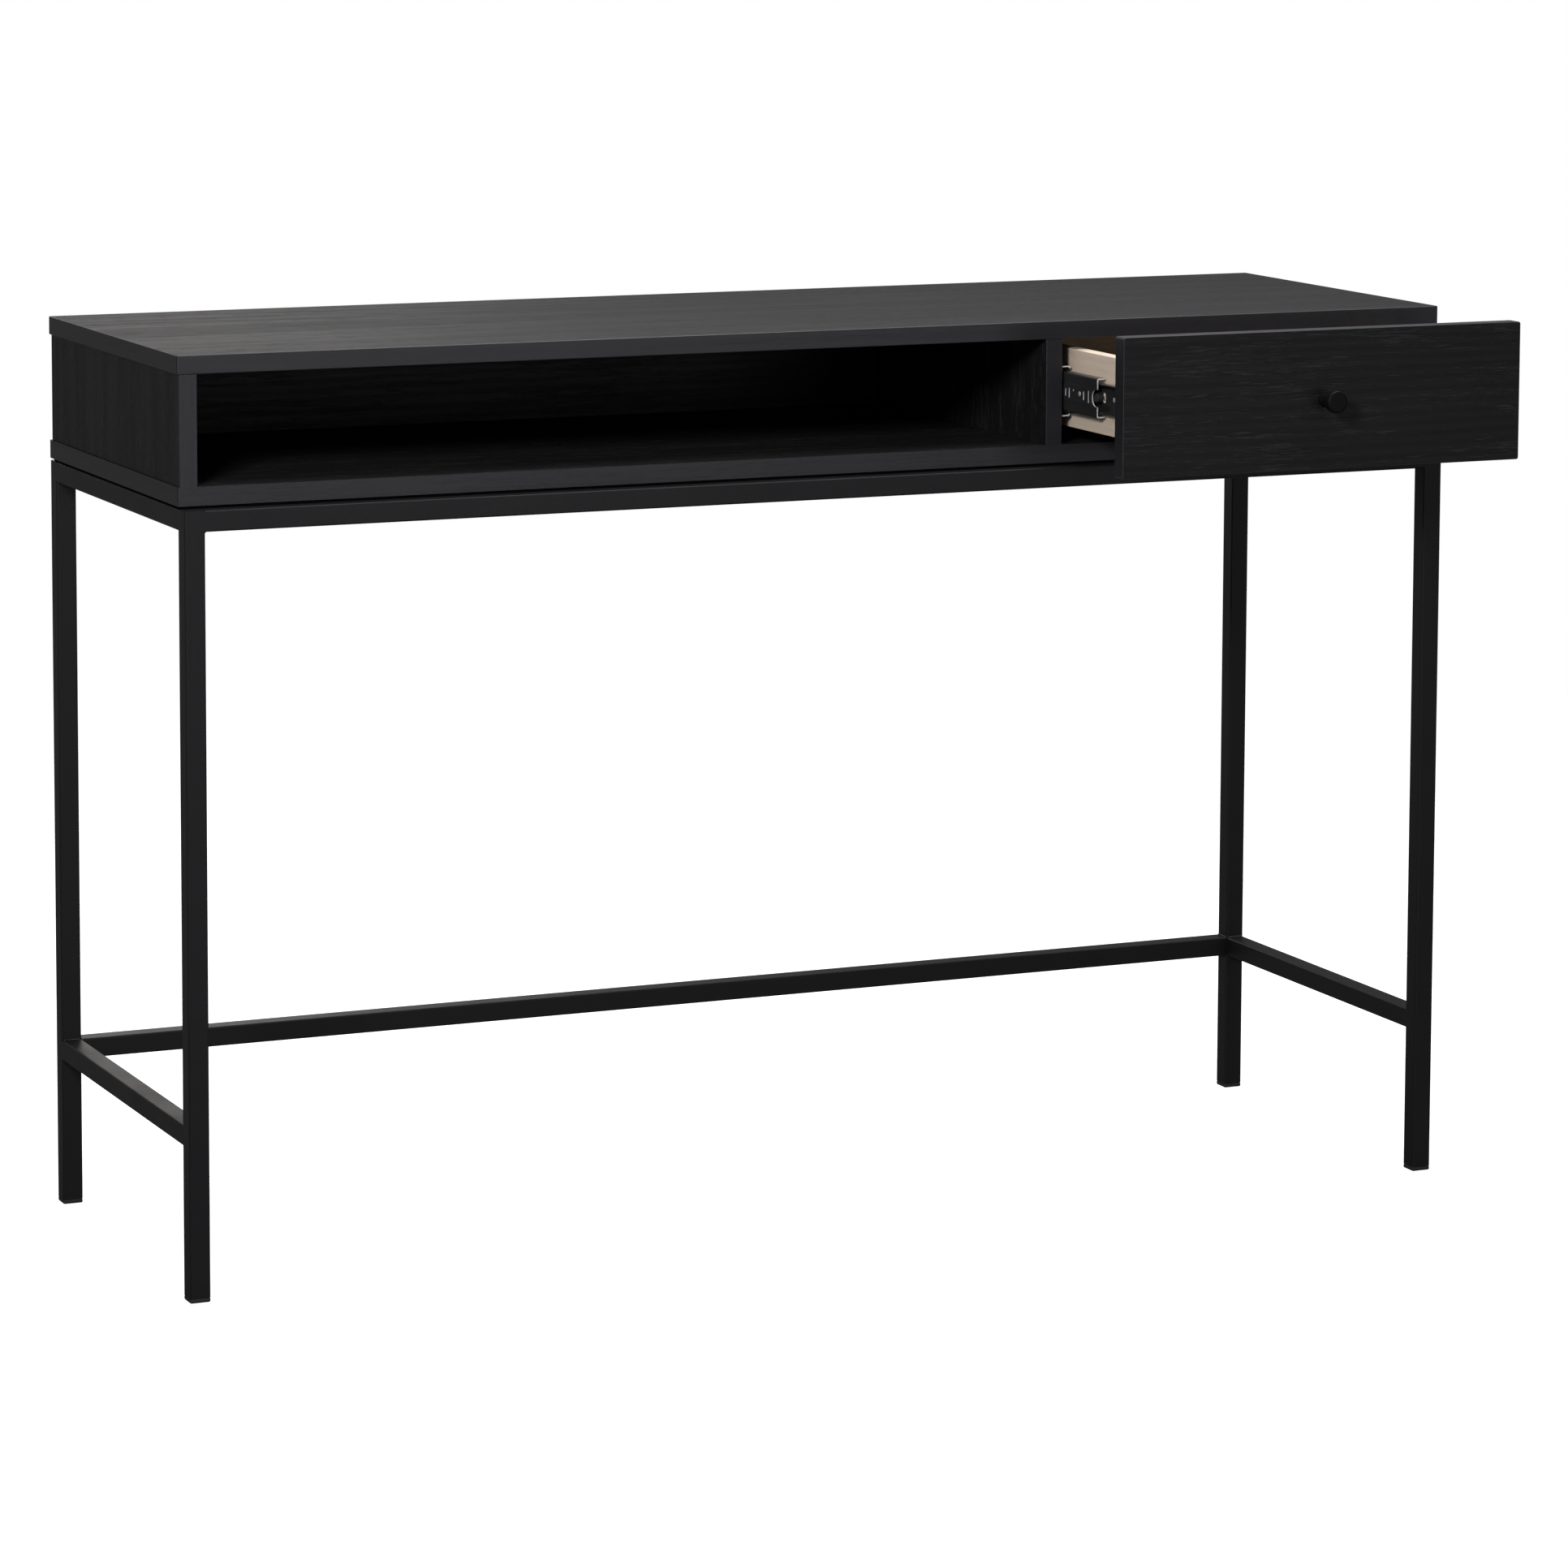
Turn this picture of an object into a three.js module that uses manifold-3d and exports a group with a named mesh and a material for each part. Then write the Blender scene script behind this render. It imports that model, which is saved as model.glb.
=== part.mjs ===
// A writing desk: a slim veneered box with an open compartment and one drawer,
// standing on a welded frame of square steel tube.
//
// Millimetres, +Z up, +X to the user's right, +Y towards the back. The pieces are laid out
// from the middle of the desk, the front plane of the box and the floor. The outermost group
// then moves everything along Y, so that the origin is under the middle of the whole desk
// as it stands, with its drawer part open.

import * as THREE from "three";
import { mergeVertices } from "three/addons/utils/BufferGeometryUtils.js";
import Module from "manifold-3d";

const wasm = await Module();
wasm.setup();

// ---------------------------------------------------------------- driving dimensions

// Desk top and box
const WIDTH = 1200; // desk top, end to end
const BOX_DEPTH = 368; // desk top, front to back
const HEIGHT = 800; // floor to the top face
const BOX_HEIGHT = 126; // over the top and bottom panels
const BOARD = 16; // veneered board
const BACK_BOARD = 6; // back panel
const SIDE_INSET = 1.5; // side panels, inside the ends of the top and bottom panels
const REAR_INSET = 3; // side and back panels, in front of the rear edges
const DRAWER_BAY = 364; // clear width between the divider and the right side panel

// Frame
const TUBE = 18; // square tube
const TUBE_WALL = 1.2;
const TUBE_RADIUS = 1.6; // outer corner of the tube
const FRAME_INSET = 1.5; // frame, inside each end of the desk top
const FRAME_PROUD_FRONT = 13; // frame, in front of the box
const FRAME_PROUD_REAR = 3; // frame, behind the desk top
const FRAME_GAP = 2.5; // spacer strips between the frame and the box
const STRETCHER_TOP = 150; // floor to the top of the lower stretchers

// Foot glides
const GLIDE_HEIGHT = 4;
const GLIDE_EDGE = 1.25; // rounded edge of the glide's plate
const GLIDE_PLUG = 14; // length of the plug inside the tube
const PLUG_CLEARANCE = 0.3; // all round the plug

// Frame bolts and the spacer strips
const BOLT_RADIUS = 2.5;
const BOLT_HEAD_RADIUS = 4.75;
const BOLT_HEAD_HEIGHT = 2.8;
const BOLT_BITE = 11; // into the bottom panel
const BOLT_CLEARANCE = 0.4; // radial, in the holes the bolt passes through
const ACCESS_RADIUS = 6; // hole in the tube's underside for the driver
const STRIP_WIDTH = 12;
const STRIP_SETBACK = 1.5; // inside the front and rear edges of the box
const STRIP_INSET = 2; // inside the frame's outer sides
const SIDE_BOLT_SPAN = 210; // between the two bolts of each side rail
const REAR_BOLT_SPAN = 560; // between the two bolts of the rear rail
const BOLT_HEAD_ROOM = 0.75; // between a rear bolt's head and the tube's front wall

// Drawer front and knob
const FRONT_REVEAL_RIGHT = 1; // inside the desk top's end
const FRONT_REVEAL_LEFT = 1.5; // inside the divider's left face
const FRONT_REVEAL_TOP = 1; // under the top face
const FRONT_REVEAL_BOTTOM = 2; // above the underside of the box
const FRONT_GAP = 1; // between the closed drawer front and the box
const KNOB_LENGTH = 25;
const KNOB_HEAD_RADIUS = 10;
const KNOB_NECK_RADIUS = 5;
const KNOB_BASE_RADIUS = 6.5;
const KNOB_SCREW_RADIUS = 2;
const KNOB_SCREW_BITE = 10; // into the knob
const KNOB_SCREW_CLEARANCE = 0.4;

// Drawer box
const DRAWER_WALL = 12;
const DRAWER_HEADROOM = 10; // under the top panel
const DRAWER_REAR_GAP = 20; // behind the closed drawer, to the back panel
const DRAWER_LIFT = 14; // above the bottom panel
const DRAWER_BOTTOM = 4;
const GROOVE_HEIGHT = 8; // from the lower edge to the groove for the drawer bottom
const GROOVE_DEPTH = 5;
const GROOVE_CLEARANCE = 0.3;

// Ball bearing slides: cabinet member, middle member and drawer member
const SLIDE_WIDTH = 12.75; // from the cabinet's face to the drawer's side
const SLIDE_SETBACK = 3; // behind the front plane of the box
const SLIDE_REAR_GAP = 6; // in front of the back panel
const SHEET = 1.2; // steel sheet of the members
const CABINET_MEMBER_HEIGHT = 45;
const MIDDLE_MEMBER_HEIGHT = 35;
const DRAWER_MEMBER_HEIGHT = 26;
const CABINET_TIP_GAP = 3.75; // cabinet member's flanges, short of the drawer's side
const LIP = 1.1; // turned-in lip of the cabinet member's flanges
const MIDDLE_FACE = 3; // middle member's web, from the cabinet's face
const MIDDLE_TIP_GAP = 2.15; // middle member's flanges, short of the drawer's side
const DRAWER_TIP_GAP = 1.2; // drawer member's flanges, off the middle member's web
const CAGE_SHEET = 0.6;
const CAGE_LENGTH = 160;
const CAGE_START = 105; // behind the front plane, with the drawer closed
const CAGE_FACE_GAP = 0.5; // ball cage's web, off the member behind it
const CAGE_TIP_GAP = 0.6; // ball cage's flanges, short of the race's end
const STOP_RADIUS = 4; // rubber stop on the middle member
const STOP_LENGTH = 6.5;
const STOP_SETBACK = 1; // behind the middle member's front end

// Slide screws
const SCREW_HEAD_RADIUS = 3.4;
const SCREW_RADIUS = 1.7;
const SCREW_LENGTH = 10;
const SCREW_RIM = 0.3; // straight edge of the countersunk head
const SCREW_CLEARANCE = 0.3;
const FRONT_SCREW = 37; // behind the member's front end
const REAR_SCREW = 57; // in front of its rear end

// How far the drawer stands open
const DRAWER_OPEN = 129;

// Facets of the round pieces
const ROUND_STEPS = 16;
const KNOB_STEPS = 32;

// ---------------------------------------------------------------- values worked out

const topEnd = WIDTH / 2;
const boxBottom = HEIGHT - BOX_HEIGHT;
const floorOfBox = boxBottom + BOARD;
const ceilingOfBox = HEIGHT - BOARD;
const sideOuter = topEnd - SIDE_INSET;
const sideInner = sideOuter - BOARD;
const panelRear = BOX_DEPTH - REAR_INSET;
const backFace = panelRear - BACK_BOARD;
const dividerRight = sideInner - DRAWER_BAY;
const dividerLeft = dividerRight - BOARD;

const frameTop = boxBottom - FRAME_GAP;
const frameEnd = topEnd - FRAME_INSET;
const frameFront = -FRAME_PROUD_FRONT;
const frameRear = BOX_DEPTH + FRAME_PROUD_REAR;
const tubeInner = TUBE - 2 * TUBE_WALL;
const boltLength = BOLT_BITE + FRAME_GAP + TUBE_WALL;

const slideHeight = boxBottom + BOX_HEIGHT / 2;
const slideLength = backFace - SLIDE_SETBACK - SLIDE_REAR_GAP;
const screwOffsets = [FRONT_SCREW, slideLength - REAR_SCREW];
const cabinetTip = SLIDE_WIDTH - CABINET_TIP_GAP;
const middleTip = SLIDE_WIDTH - MIDDLE_TIP_GAP;
const drawerTip = MIDDLE_FACE + SHEET + DRAWER_TIP_GAP;
const drawerWeb = SLIDE_WIDTH - SHEET;
const frontLeft = dividerLeft + FRONT_REVEAL_LEFT;
const frontRight = topEnd - FRONT_REVEAL_RIGHT;
const frontBottom = boxBottom + FRONT_REVEAL_BOTTOM;
const frontTop = HEIGHT - FRONT_REVEAL_TOP;
const drawerLeft = dividerRight + SLIDE_WIDTH;
const drawerRight = sideInner - SLIDE_WIDTH;
const drawerBoxBottom = floorOfBox + DRAWER_LIFT;
const drawerBoxHeight = ceilingOfBox - DRAWER_HEADROOM - drawerBoxBottom;
const drawerBoxRear = backFace - DRAWER_REAR_GAP;
const drawerBoxLength = drawerBoxRear + FRONT_GAP;
const drawerFace = -FRONT_GAP - BOARD;
const originY = (frameRear + drawerFace - DRAWER_OPEN - KNOB_LENGTH) / 2;

// ---------------------------------------------------------------- finishes

function finish(color, roughness, metalness) {
  return new THREE.MeshStandardMaterial({ color, roughness, metalness });
}

const blackVeneer = finish(0x1b1b1e, 0.55, 0);
const blackPowderCoat = finish(0x131315, 0.5, 0.3);
const paleWood = finish(0xbfae99, 0.6, 0);
const blackSteel = finish(0x1e1f22, 0.35, 0.8);
const brightSteel = finish(0x9a9da1, 0.3, 1);
const blackPlastic = finish(0x0f0f10, 0.6, 0);
const blackKnob = finish(0x0e0e10, 0.4, 0.4);

// ---------------------------------------------------------------- tools

// A closed three.js geometry as a solid that can be cut and joined.
function solidOf(geometry) {
  const bare = new THREE.BufferGeometry();
  bare.setAttribute("position", geometry.getAttribute("position"));
  bare.setIndex(geometry.index);
  const merged = mergeVertices(bare, 1e-4);
  const mesh = new wasm.Mesh({
    numProp: 3,
    vertProperties: new Float32Array(merged.getAttribute("position").array),
    triVerts: new Uint32Array(merged.index.array),
  });
  return new wasm.Manifold(mesh);
}

function geometryOf(solid) {
  const mesh = solid.getMesh();
  const geometry = new THREE.BufferGeometry();
  geometry.setAttribute("position", new THREE.BufferAttribute(mesh.vertProperties, 3));
  geometry.setIndex(new THREE.BufferAttribute(mesh.triVerts, 1));
  return geometry;
}

function cut(geometry, cutters) {
  let solid = solidOf(geometry);
  for (const cutter of cutters) solid = solid.subtract(solidOf(cutter));
  return geometryOf(solid);
}

function join(first, second) {
  return geometryOf(solidOf(first).add(solidOf(second)));
}

function piece(name, geometry, material, x = 0, y = 0, z = 0) {
  const mesh = new THREE.Mesh(geometry, material);
  mesh.name = name;
  mesh.position.set(x, y, z);
  return mesh;
}

function groupOf(...pieces) {
  const group = new THREE.Group();
  group.add(...pieces);
  return group;
}

// A block between two corners.
function block(low, high) {
  const [x, y, z] = high.map((value, i) => value - low[i]);
  const geometry = new THREE.BoxGeometry(x, y, z);
  geometry.translate(low[0] + x / 2, low[1] + y / 2, low[2] + z / 2);
  return geometry;
}

// A round bar along Z, from z up by length.
function rod(radius, length, x = 0, y = 0, z = 0) {
  const geometry = new THREE.CylinderGeometry(radius, radius, length, ROUND_STEPS);
  geometry.rotateX(Math.PI / 2);
  geometry.translate(x, y, z + length / 2);
  return geometry;
}

function roundedSquare(side, radius) {
  const half = side / 2;
  const flat = half - radius;
  const shape = new THREE.Shape();
  shape.moveTo(half, -flat);
  shape.lineTo(half, flat);
  shape.absarc(flat, flat, radius, 0, Math.PI / 2);
  shape.lineTo(-flat, half);
  shape.absarc(-flat, flat, radius, Math.PI / 2, Math.PI);
  shape.lineTo(-half, -flat);
  shape.absarc(-flat, -flat, radius, Math.PI, 1.5 * Math.PI);
  shape.lineTo(flat, -half);
  shape.absarc(flat, -flat, radius, 1.5 * Math.PI, 2 * Math.PI);
  return shape;
}

// A bar of the given section, along Z from z = 0.
function bar(shape, length) {
  return new THREE.ExtrudeGeometry(shape, { depth: length, bevelEnabled: false, curveSegments: 3 });
}

// A section in the XZ plane, run along Y from y = 0 towards the back.
function barAlongY(outline, length) {
  const shape = new THREE.Shape(outline.map(([x, z]) => new THREE.Vector2(x, z)));
  const geometry = bar(shape, length);
  geometry.rotateX(Math.PI / 2);
  geometry.translate(0, length, 0);
  return geometry;
}

// ---------------------------------------------------------------- box

// Blind holes in the bottom panel and through holes in the rails share these places.
const sideBoltYs = [-1, 1].map((side) => (frameFront + frameRear + side * SIDE_BOLT_SPAN) / 2);
const sideBoltX = frameEnd - TUBE / 2;
const rearBoltY = frameRear - TUBE + TUBE_WALL + BOLT_HEAD_ROOM + BOLT_HEAD_RADIUS;
const boltPlaces = [
  ["left_front", -sideBoltX, sideBoltYs[0]],
  ["left_rear", -sideBoltX, sideBoltYs[1]],
  ["right_front", sideBoltX, sideBoltYs[0]],
  ["right_rear", sideBoltX, sideBoltYs[1]],
  ["rear_left", -REAR_BOLT_SPAN / 2, rearBoltY],
  ["rear_right", REAR_BOLT_SPAN / 2, rearBoltY],
];

function box() {
  const boltHole = BOLT_RADIUS + BOLT_CLEARANCE;
  const depth = BOLT_BITE + 1;
  const boltHoles = boltPlaces.map(([, x, y]) => rod(boltHole, 2 * depth, x, y, boxBottom - depth));
  const bottom = cut(block([-topEnd, 0, boxBottom], [topEnd, BOX_DEPTH, floorOfBox]), boltHoles);
  const top = block([-topEnd, 0, ceilingOfBox], [topEnd, BOX_DEPTH, HEIGHT]);
  const left = block([-sideOuter, 0, floorOfBox], [-sideInner, panelRear, ceilingOfBox]);
  const right = block([sideInner, 0, floorOfBox], [sideOuter, panelRear, ceilingOfBox]);
  const divider = block([dividerLeft, 0, floorOfBox], [dividerRight, backFace, ceilingOfBox]);
  const back = block([-sideInner, backFace, floorOfBox], [sideInner, panelRear, ceilingOfBox]);
  return groupOf(
    piece("top_panel", top, blackVeneer),
    piece("bottom_panel", bottom, blackVeneer),
    piece("side_panel_left", left, blackVeneer),
    piece("side_panel_right", cut(right, cabinetScrewHoles(sideInner, 1)), blackVeneer),
    piece("divider_panel", cut(divider, cabinetScrewHoles(dividerRight, -1)), blackVeneer),
    piece("back_panel", back, blackVeneer),
  );
}

// ---------------------------------------------------------------- frame

// A leg is a tube closed at its top end, so its hollow is open only at the foot.
function leg() {
  const length = frameTop - GLIDE_HEIGHT;
  const outer = bar(roundedSquare(TUBE, TUBE_RADIUS), length);
  const hollow = bar(roundedSquare(tubeInner, TUBE_RADIUS - TUBE_WALL), length);
  hollow.translate(0, 0, -TUBE_WALL);
  return cut(outer, [hollow]);
}

function openTube(length) {
  const shape = roundedSquare(TUBE, TUBE_RADIUS);
  shape.holes.push(roundedSquare(tubeInner, TUBE_RADIUS - TUBE_WALL));
  return bar(shape, length);
}

// Tubes that lie along X or Y, from x or y = 0, with the top face at z = 0.
function tubeAlongX(length) {
  const geometry = openTube(length);
  geometry.rotateY(Math.PI / 2);
  return geometry.translate(0, TUBE / 2, -TUBE / 2);
}

function tubeAlongY(length) {
  const geometry = openTube(length);
  geometry.rotateX(-Math.PI / 2);
  return geometry.translate(TUBE / 2, 0, -TUBE / 2);
}

// A bolt's clearance hole through the top wall of a rail, and its access hole below.
function railHoles(places) {
  return places.flatMap(([x, y]) => [
    rod(BOLT_RADIUS + BOLT_CLEARANCE, 2 * TUBE_WALL, x, y, -1.5 * TUBE_WALL),
    rod(ACCESS_RADIUS, 2 * TUBE_WALL, x, y, -TUBE - TUBE_WALL / 2),
  ]);
}

// Rounded plate under the tube, with a plug that fits inside it.
function footGlide() {
  const plate = new THREE.ExtrudeGeometry(roundedSquare(TUBE, TUBE_RADIUS), {
    depth: GLIDE_HEIGHT - 2 * GLIDE_EDGE,
    bevelThickness: GLIDE_EDGE,
    bevelSize: GLIDE_EDGE,
    bevelOffset: -GLIDE_EDGE,
    bevelSegments: 2,
    curveSegments: 3,
  });
  plate.translate(0, 0, GLIDE_EDGE);
  const plugSide = tubeInner - 2 * PLUG_CLEARANCE;
  const plug = bar(roundedSquare(plugSide, TUBE_RADIUS - TUBE_WALL), GLIDE_PLUG + GLIDE_HEIGHT / 2);
  plug.translate(0, 0, GLIDE_HEIGHT / 2);
  return join(plate, plug);
}

function frame() {
  const legX = frameEnd - TUBE / 2;
  const legYs = { front: frameFront + TUBE / 2, rear: frameRear - TUBE / 2 };
  const group = new THREE.Group();
  for (const [place, y] of Object.entries(legYs))
    for (const [side, x] of [["left", -legX], ["right", legX]]) {
      group.add(piece(`leg_${place}_${side}`, leg(), blackPowderCoat, x, y, GLIDE_HEIGHT));
      group.add(piece(`foot_glide_${place}_${side}`, footGlide(), blackPlastic, x, y, 0));
    }

  const span = 2 * (frameEnd - TUBE);
  const reach = frameRear - frameFront - 2 * TUBE;
  const spanStart = -frameEnd + TUBE;
  const reachStart = frameFront + TUBE;
  const rearY = frameRear - TUBE;
  const sideHoles = railHoles(sideBoltYs.map((y) => [TUBE / 2, y - reachStart]));
  const rearXs = [-REAR_BOLT_SPAN / 2, REAR_BOLT_SPAN / 2];
  const rearHoles = railHoles(rearXs.map((x) => [x - spanStart, rearBoltY - rearY]));
  const acrossRear = cut(tubeAlongX(span), rearHoles);
  group.add(piece("rail_front", tubeAlongX(span), blackPowderCoat, spanStart, frameFront, frameTop));
  group.add(piece("rail_rear", acrossRear, blackPowderCoat, spanStart, rearY, frameTop));
  group.add(piece("stretcher_rear", tubeAlongX(span), blackPowderCoat, spanStart, rearY, STRETCHER_TOP));
  for (const [side, x] of [["left", -frameEnd], ["right", frameEnd - TUBE]]) {
    const rail = cut(tubeAlongY(reach), sideHoles);
    group.add(piece(`rail_${side}`, rail, blackPowderCoat, x, reachStart, frameTop));
    const stretcher = tubeAlongY(reach);
    group.add(piece(`stretcher_${side}`, stretcher, blackPowderCoat, x, reachStart, STRETCHER_TOP));
  }
  return group;
}

// ---------------------------------------------------------------- bolts that hold the box down

// Button head inside the tube, shank up through the strip into the bottom panel.
function frameBolt() {
  const head = rod(BOLT_HEAD_RADIUS, BOLT_HEAD_HEIGHT, 0, 0, -BOLT_HEAD_HEIGHT);
  return join(head, rod(BOLT_RADIUS, boltLength + 1, 0, 0, -1));
}

// Four strips under the box's edges, which meet end to end and close the gap all round.
function spacerStrips() {
  const end = frameEnd - STRIP_INSET;
  const front = STRIP_SETBACK;
  const rear = BOX_DEPTH - STRIP_SETBACK;
  const places = {
    front: [[-end, end], [front, front + STRIP_WIDTH]],
    rear: [[-end, end], [rear - STRIP_WIDTH, rear]],
    left: [[-end, -end + STRIP_WIDTH], [front + STRIP_WIDTH, rear - STRIP_WIDTH]],
    right: [[end - STRIP_WIDTH, end], [front + STRIP_WIDTH, rear - STRIP_WIDTH]],
  };
  return Object.entries(places).map(([place, [xs, ys]]) => {
    const inside = boltPlaces.filter(([, x, y]) => x > xs[0] && x < xs[1] && y > ys[0] && y < ys[1]);
    const holes = inside.map(([, x, y]) =>
      rod(BOLT_RADIUS + BOLT_CLEARANCE, 3 * FRAME_GAP, x, y, frameTop - FRAME_GAP),
    );
    const strip = cut(block([xs[0], ys[0], frameTop], [xs[1], ys[1], boxBottom]), holes);
    return piece(`spacer_strip_${place}`, strip, blackPlastic);
  });
}

function fastenings() {
  const group = groupOf(...spacerStrips());
  for (const [place, x, y] of boltPlaces)
    group.add(piece(`frame_bolt_${place}`, frameBolt(), brightSteel, x, y, frameTop - TUBE_WALL));
  return group;
}

// ---------------------------------------------------------------- slides

// A countersunk screw along +X, with the face of its head at x = 0. With a clearance it is
// the shape of the hole that the screw goes in.
function slideScrew(clearance = 0) {
  const head = SCREW_HEAD_RADIUS + clearance;
  const shank = SCREW_RADIUS + clearance;
  const profile = [
    [0, SCREW_LENGTH + clearance],
    [shank, SCREW_LENGTH + clearance],
    [shank, SHEET],
    [head, SCREW_RIM],
    [head, -clearance],
    [0, -clearance],
  ];
  const points = profile.reverse().map(([radius, along]) => new THREE.Vector2(radius, along));
  const geometry = new THREE.LatheGeometry(points, ROUND_STEPS);
  return geometry.rotateZ(-Math.PI / 2);
}

// Holes for the cabinet members' screws, in a panel whose face towards the drawer is at x.
// The screws run away from the drawer, along -X or +X.
function cabinetScrewHoles(x, direction) {
  return screwOffsets.map((offset) => {
    const hole = slideScrew(SCREW_CLEARANCE);
    if (direction < 0) hole.rotateZ(Math.PI);
    return hole.translate(x - direction * SHEET, SLIDE_SETBACK + offset, slideHeight);
  });
}

// Upper half of a channel's section, mirrored to make the whole one.
function mirrored(upper) {
  const lower = upper.map(([x, z]) => [x, -z]).reverse();
  return [...upper, ...lower];
}

function cabinetMember() {
  const half = CABINET_MEMBER_HEIGHT / 2;
  const outline = mirrored([
    [0, half],
    [cabinetTip, half],
    [cabinetTip, half - SHEET - LIP],
    [cabinetTip - SHEET, half - SHEET - LIP],
    [cabinetTip - SHEET, half - SHEET],
    [SHEET, half - SHEET],
  ]);
  const holes = screwOffsets.map((offset) =>
    slideScrew(SCREW_CLEARANCE).rotateZ(Math.PI).translate(SHEET, offset, 0),
  );
  return cut(barAlongY(outline, slideLength), holes);
}

function middleMember() {
  const half = MIDDLE_MEMBER_HEIGHT / 2;
  const outline = mirrored([
    [MIDDLE_FACE, half],
    [middleTip, half],
    [middleTip, half - SHEET],
    [MIDDLE_FACE + SHEET, half - SHEET],
  ]);
  return barAlongY(outline, slideLength);
}

function drawerMember() {
  const half = DRAWER_MEMBER_HEIGHT / 2;
  const outline = mirrored([
    [SLIDE_WIDTH, half],
    [drawerTip, half],
    [drawerTip, half - SHEET],
    [drawerWeb, half - SHEET],
  ]);
  const holes = screwOffsets.map((offset) =>
    slideScrew(SCREW_CLEARANCE).translate(drawerWeb, offset, 0),
  );
  return cut(barAlongY(outline, slideLength), holes);
}

// A cage holds two rows of balls midway between an outer and an inner race. It reaches from
// its web at the given face to the tip of its flanges.
function ballCage(face, tip, outerRace, innerRace) {
  const middle = (outerRace + innerRace) / 2;
  const outer = middle + CAGE_SHEET / 2;
  const inner = middle - CAGE_SHEET / 2;
  const outline = mirrored([
    [face, outer],
    [tip, outer],
    [tip, inner],
    [face + CAGE_SHEET, inner],
  ]);
  return barAlongY(outline, CAGE_LENGTH);
}

function slideStop() {
  const stop = rod(STOP_RADIUS, STOP_LENGTH);
  return stop.rotateY(Math.PI / 2);
}

// One slide, drawn from the cabinet's face along +X. Each moving member stands in its own
// group, pulled forward by its share of the drawer's travel: half for the middle member, and
// a quarter and three quarters for the cages that roll on either side of it.
function slide(side) {
  const fixed = groupOf(piece(`slide_cabinet_member_${side}`, cabinetMember(), blackSteel));
  fixed.position.y = SLIDE_SETBACK;
  const middle = groupOf(piece(`slide_middle_member_${side}`, middleMember(), blackSteel));
  const stopX = MIDDLE_FACE + SHEET;
  middle.add(piece(`slide_stop_${side}`, slideStop(), blackPlastic, stopX, STOP_SETBACK + STOP_RADIUS, 0));
  middle.position.y = SLIDE_SETBACK - DRAWER_OPEN / 2;
  const moving = groupOf(piece(`slide_drawer_member_${side}`, drawerMember(), blackSteel));
  moving.position.y = SLIDE_SETBACK - DRAWER_OPEN;
  screwOffsets.forEach((offset, i) => {
    const place = ["front", "rear"][i];
    const cabinetScrew = slideScrew().rotateZ(Math.PI);
    fixed.add(piece(`cabinet_screw_${side}_${place}`, cabinetScrew, brightSteel, SHEET, offset, 0));
    const drawerScrew = slideScrew();
    moving.add(piece(`drawer_screw_${side}_${place}`, drawerScrew, brightSteel, drawerWeb, offset, 0));
  });

  const outerRace = CABINET_MEMBER_HEIGHT / 2 - SHEET;
  const middleOuter = MIDDLE_MEMBER_HEIGHT / 2;
  const innerRace = DRAWER_MEMBER_HEIGHT / 2;
  const outerFace = SHEET + CAGE_FACE_GAP;
  const outerTip = cabinetTip - SHEET - CAGE_TIP_GAP;
  const outerCage = ballCage(outerFace, outerTip, outerRace, middleOuter);
  const innerFace = MIDDLE_FACE + SHEET + CAGE_FACE_GAP / 2;
  const innerCage = ballCage(innerFace, middleTip - CAGE_TIP_GAP, middleOuter - SHEET, innerRace);
  const outerY = CAGE_START - DRAWER_OPEN / 4;
  const innerY = CAGE_START - (3 * DRAWER_OPEN) / 4;
  const cages = groupOf(
    piece(`ball_cage_outer_${side}`, outerCage, brightSteel, 0, outerY, 0),
    piece(`ball_cage_inner_${side}`, innerCage, brightSteel, 0, innerY, 0),
  );
  return groupOf(fixed, middle, moving, cages);
}

function slides() {
  const left = slide("left");
  left.position.set(dividerRight, 0, slideHeight);
  const right = slide("right");
  right.position.set(sideInner, 0, slideHeight);
  right.scale.x = -1;
  return groupOf(left, right);
}

// ---------------------------------------------------------------- drawer

// The turned knob, along +Y from its base. Its screw hole is open at the base.
function knob() {
  const hole = KNOB_SCREW_RADIUS + KNOB_SCREW_CLEARANCE;
  const head = KNOB_HEAD_RADIUS;
  const profile = [
    [0, KNOB_SCREW_BITE + 2],
    [hole, KNOB_SCREW_BITE + 2],
    [hole, 0],
    [KNOB_BASE_RADIUS, 0],
    [KNOB_BASE_RADIUS - 0.4, 2],
    [KNOB_NECK_RADIUS, 5],
    [KNOB_NECK_RADIUS + 0.4, 10],
    [head - 2, KNOB_LENGTH - 9],
    [head - 0.4, KNOB_LENGTH - 7],
    [head, KNOB_LENGTH - 5.5],
    [head, KNOB_LENGTH - 2],
    [head - 0.7, KNOB_LENGTH - 0.5],
    [head - 2, KNOB_LENGTH],
    [0, KNOB_LENGTH],
  ];
  const points = profile.map(([radius, along]) => new THREE.Vector2(radius, along));
  return new THREE.LatheGeometry(points, KNOB_STEPS);
}

// Pan head behind the drawer front, shank along +Z from z = 0.
function knobScrew() {
  const head = rod(2 * KNOB_SCREW_RADIUS, KNOB_SCREW_RADIUS, 0, 0, -KNOB_SCREW_RADIUS);
  return join(head, rod(KNOB_SCREW_RADIUS, BOARD + KNOB_SCREW_BITE + 1, 0, 0, -1));
}

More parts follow.
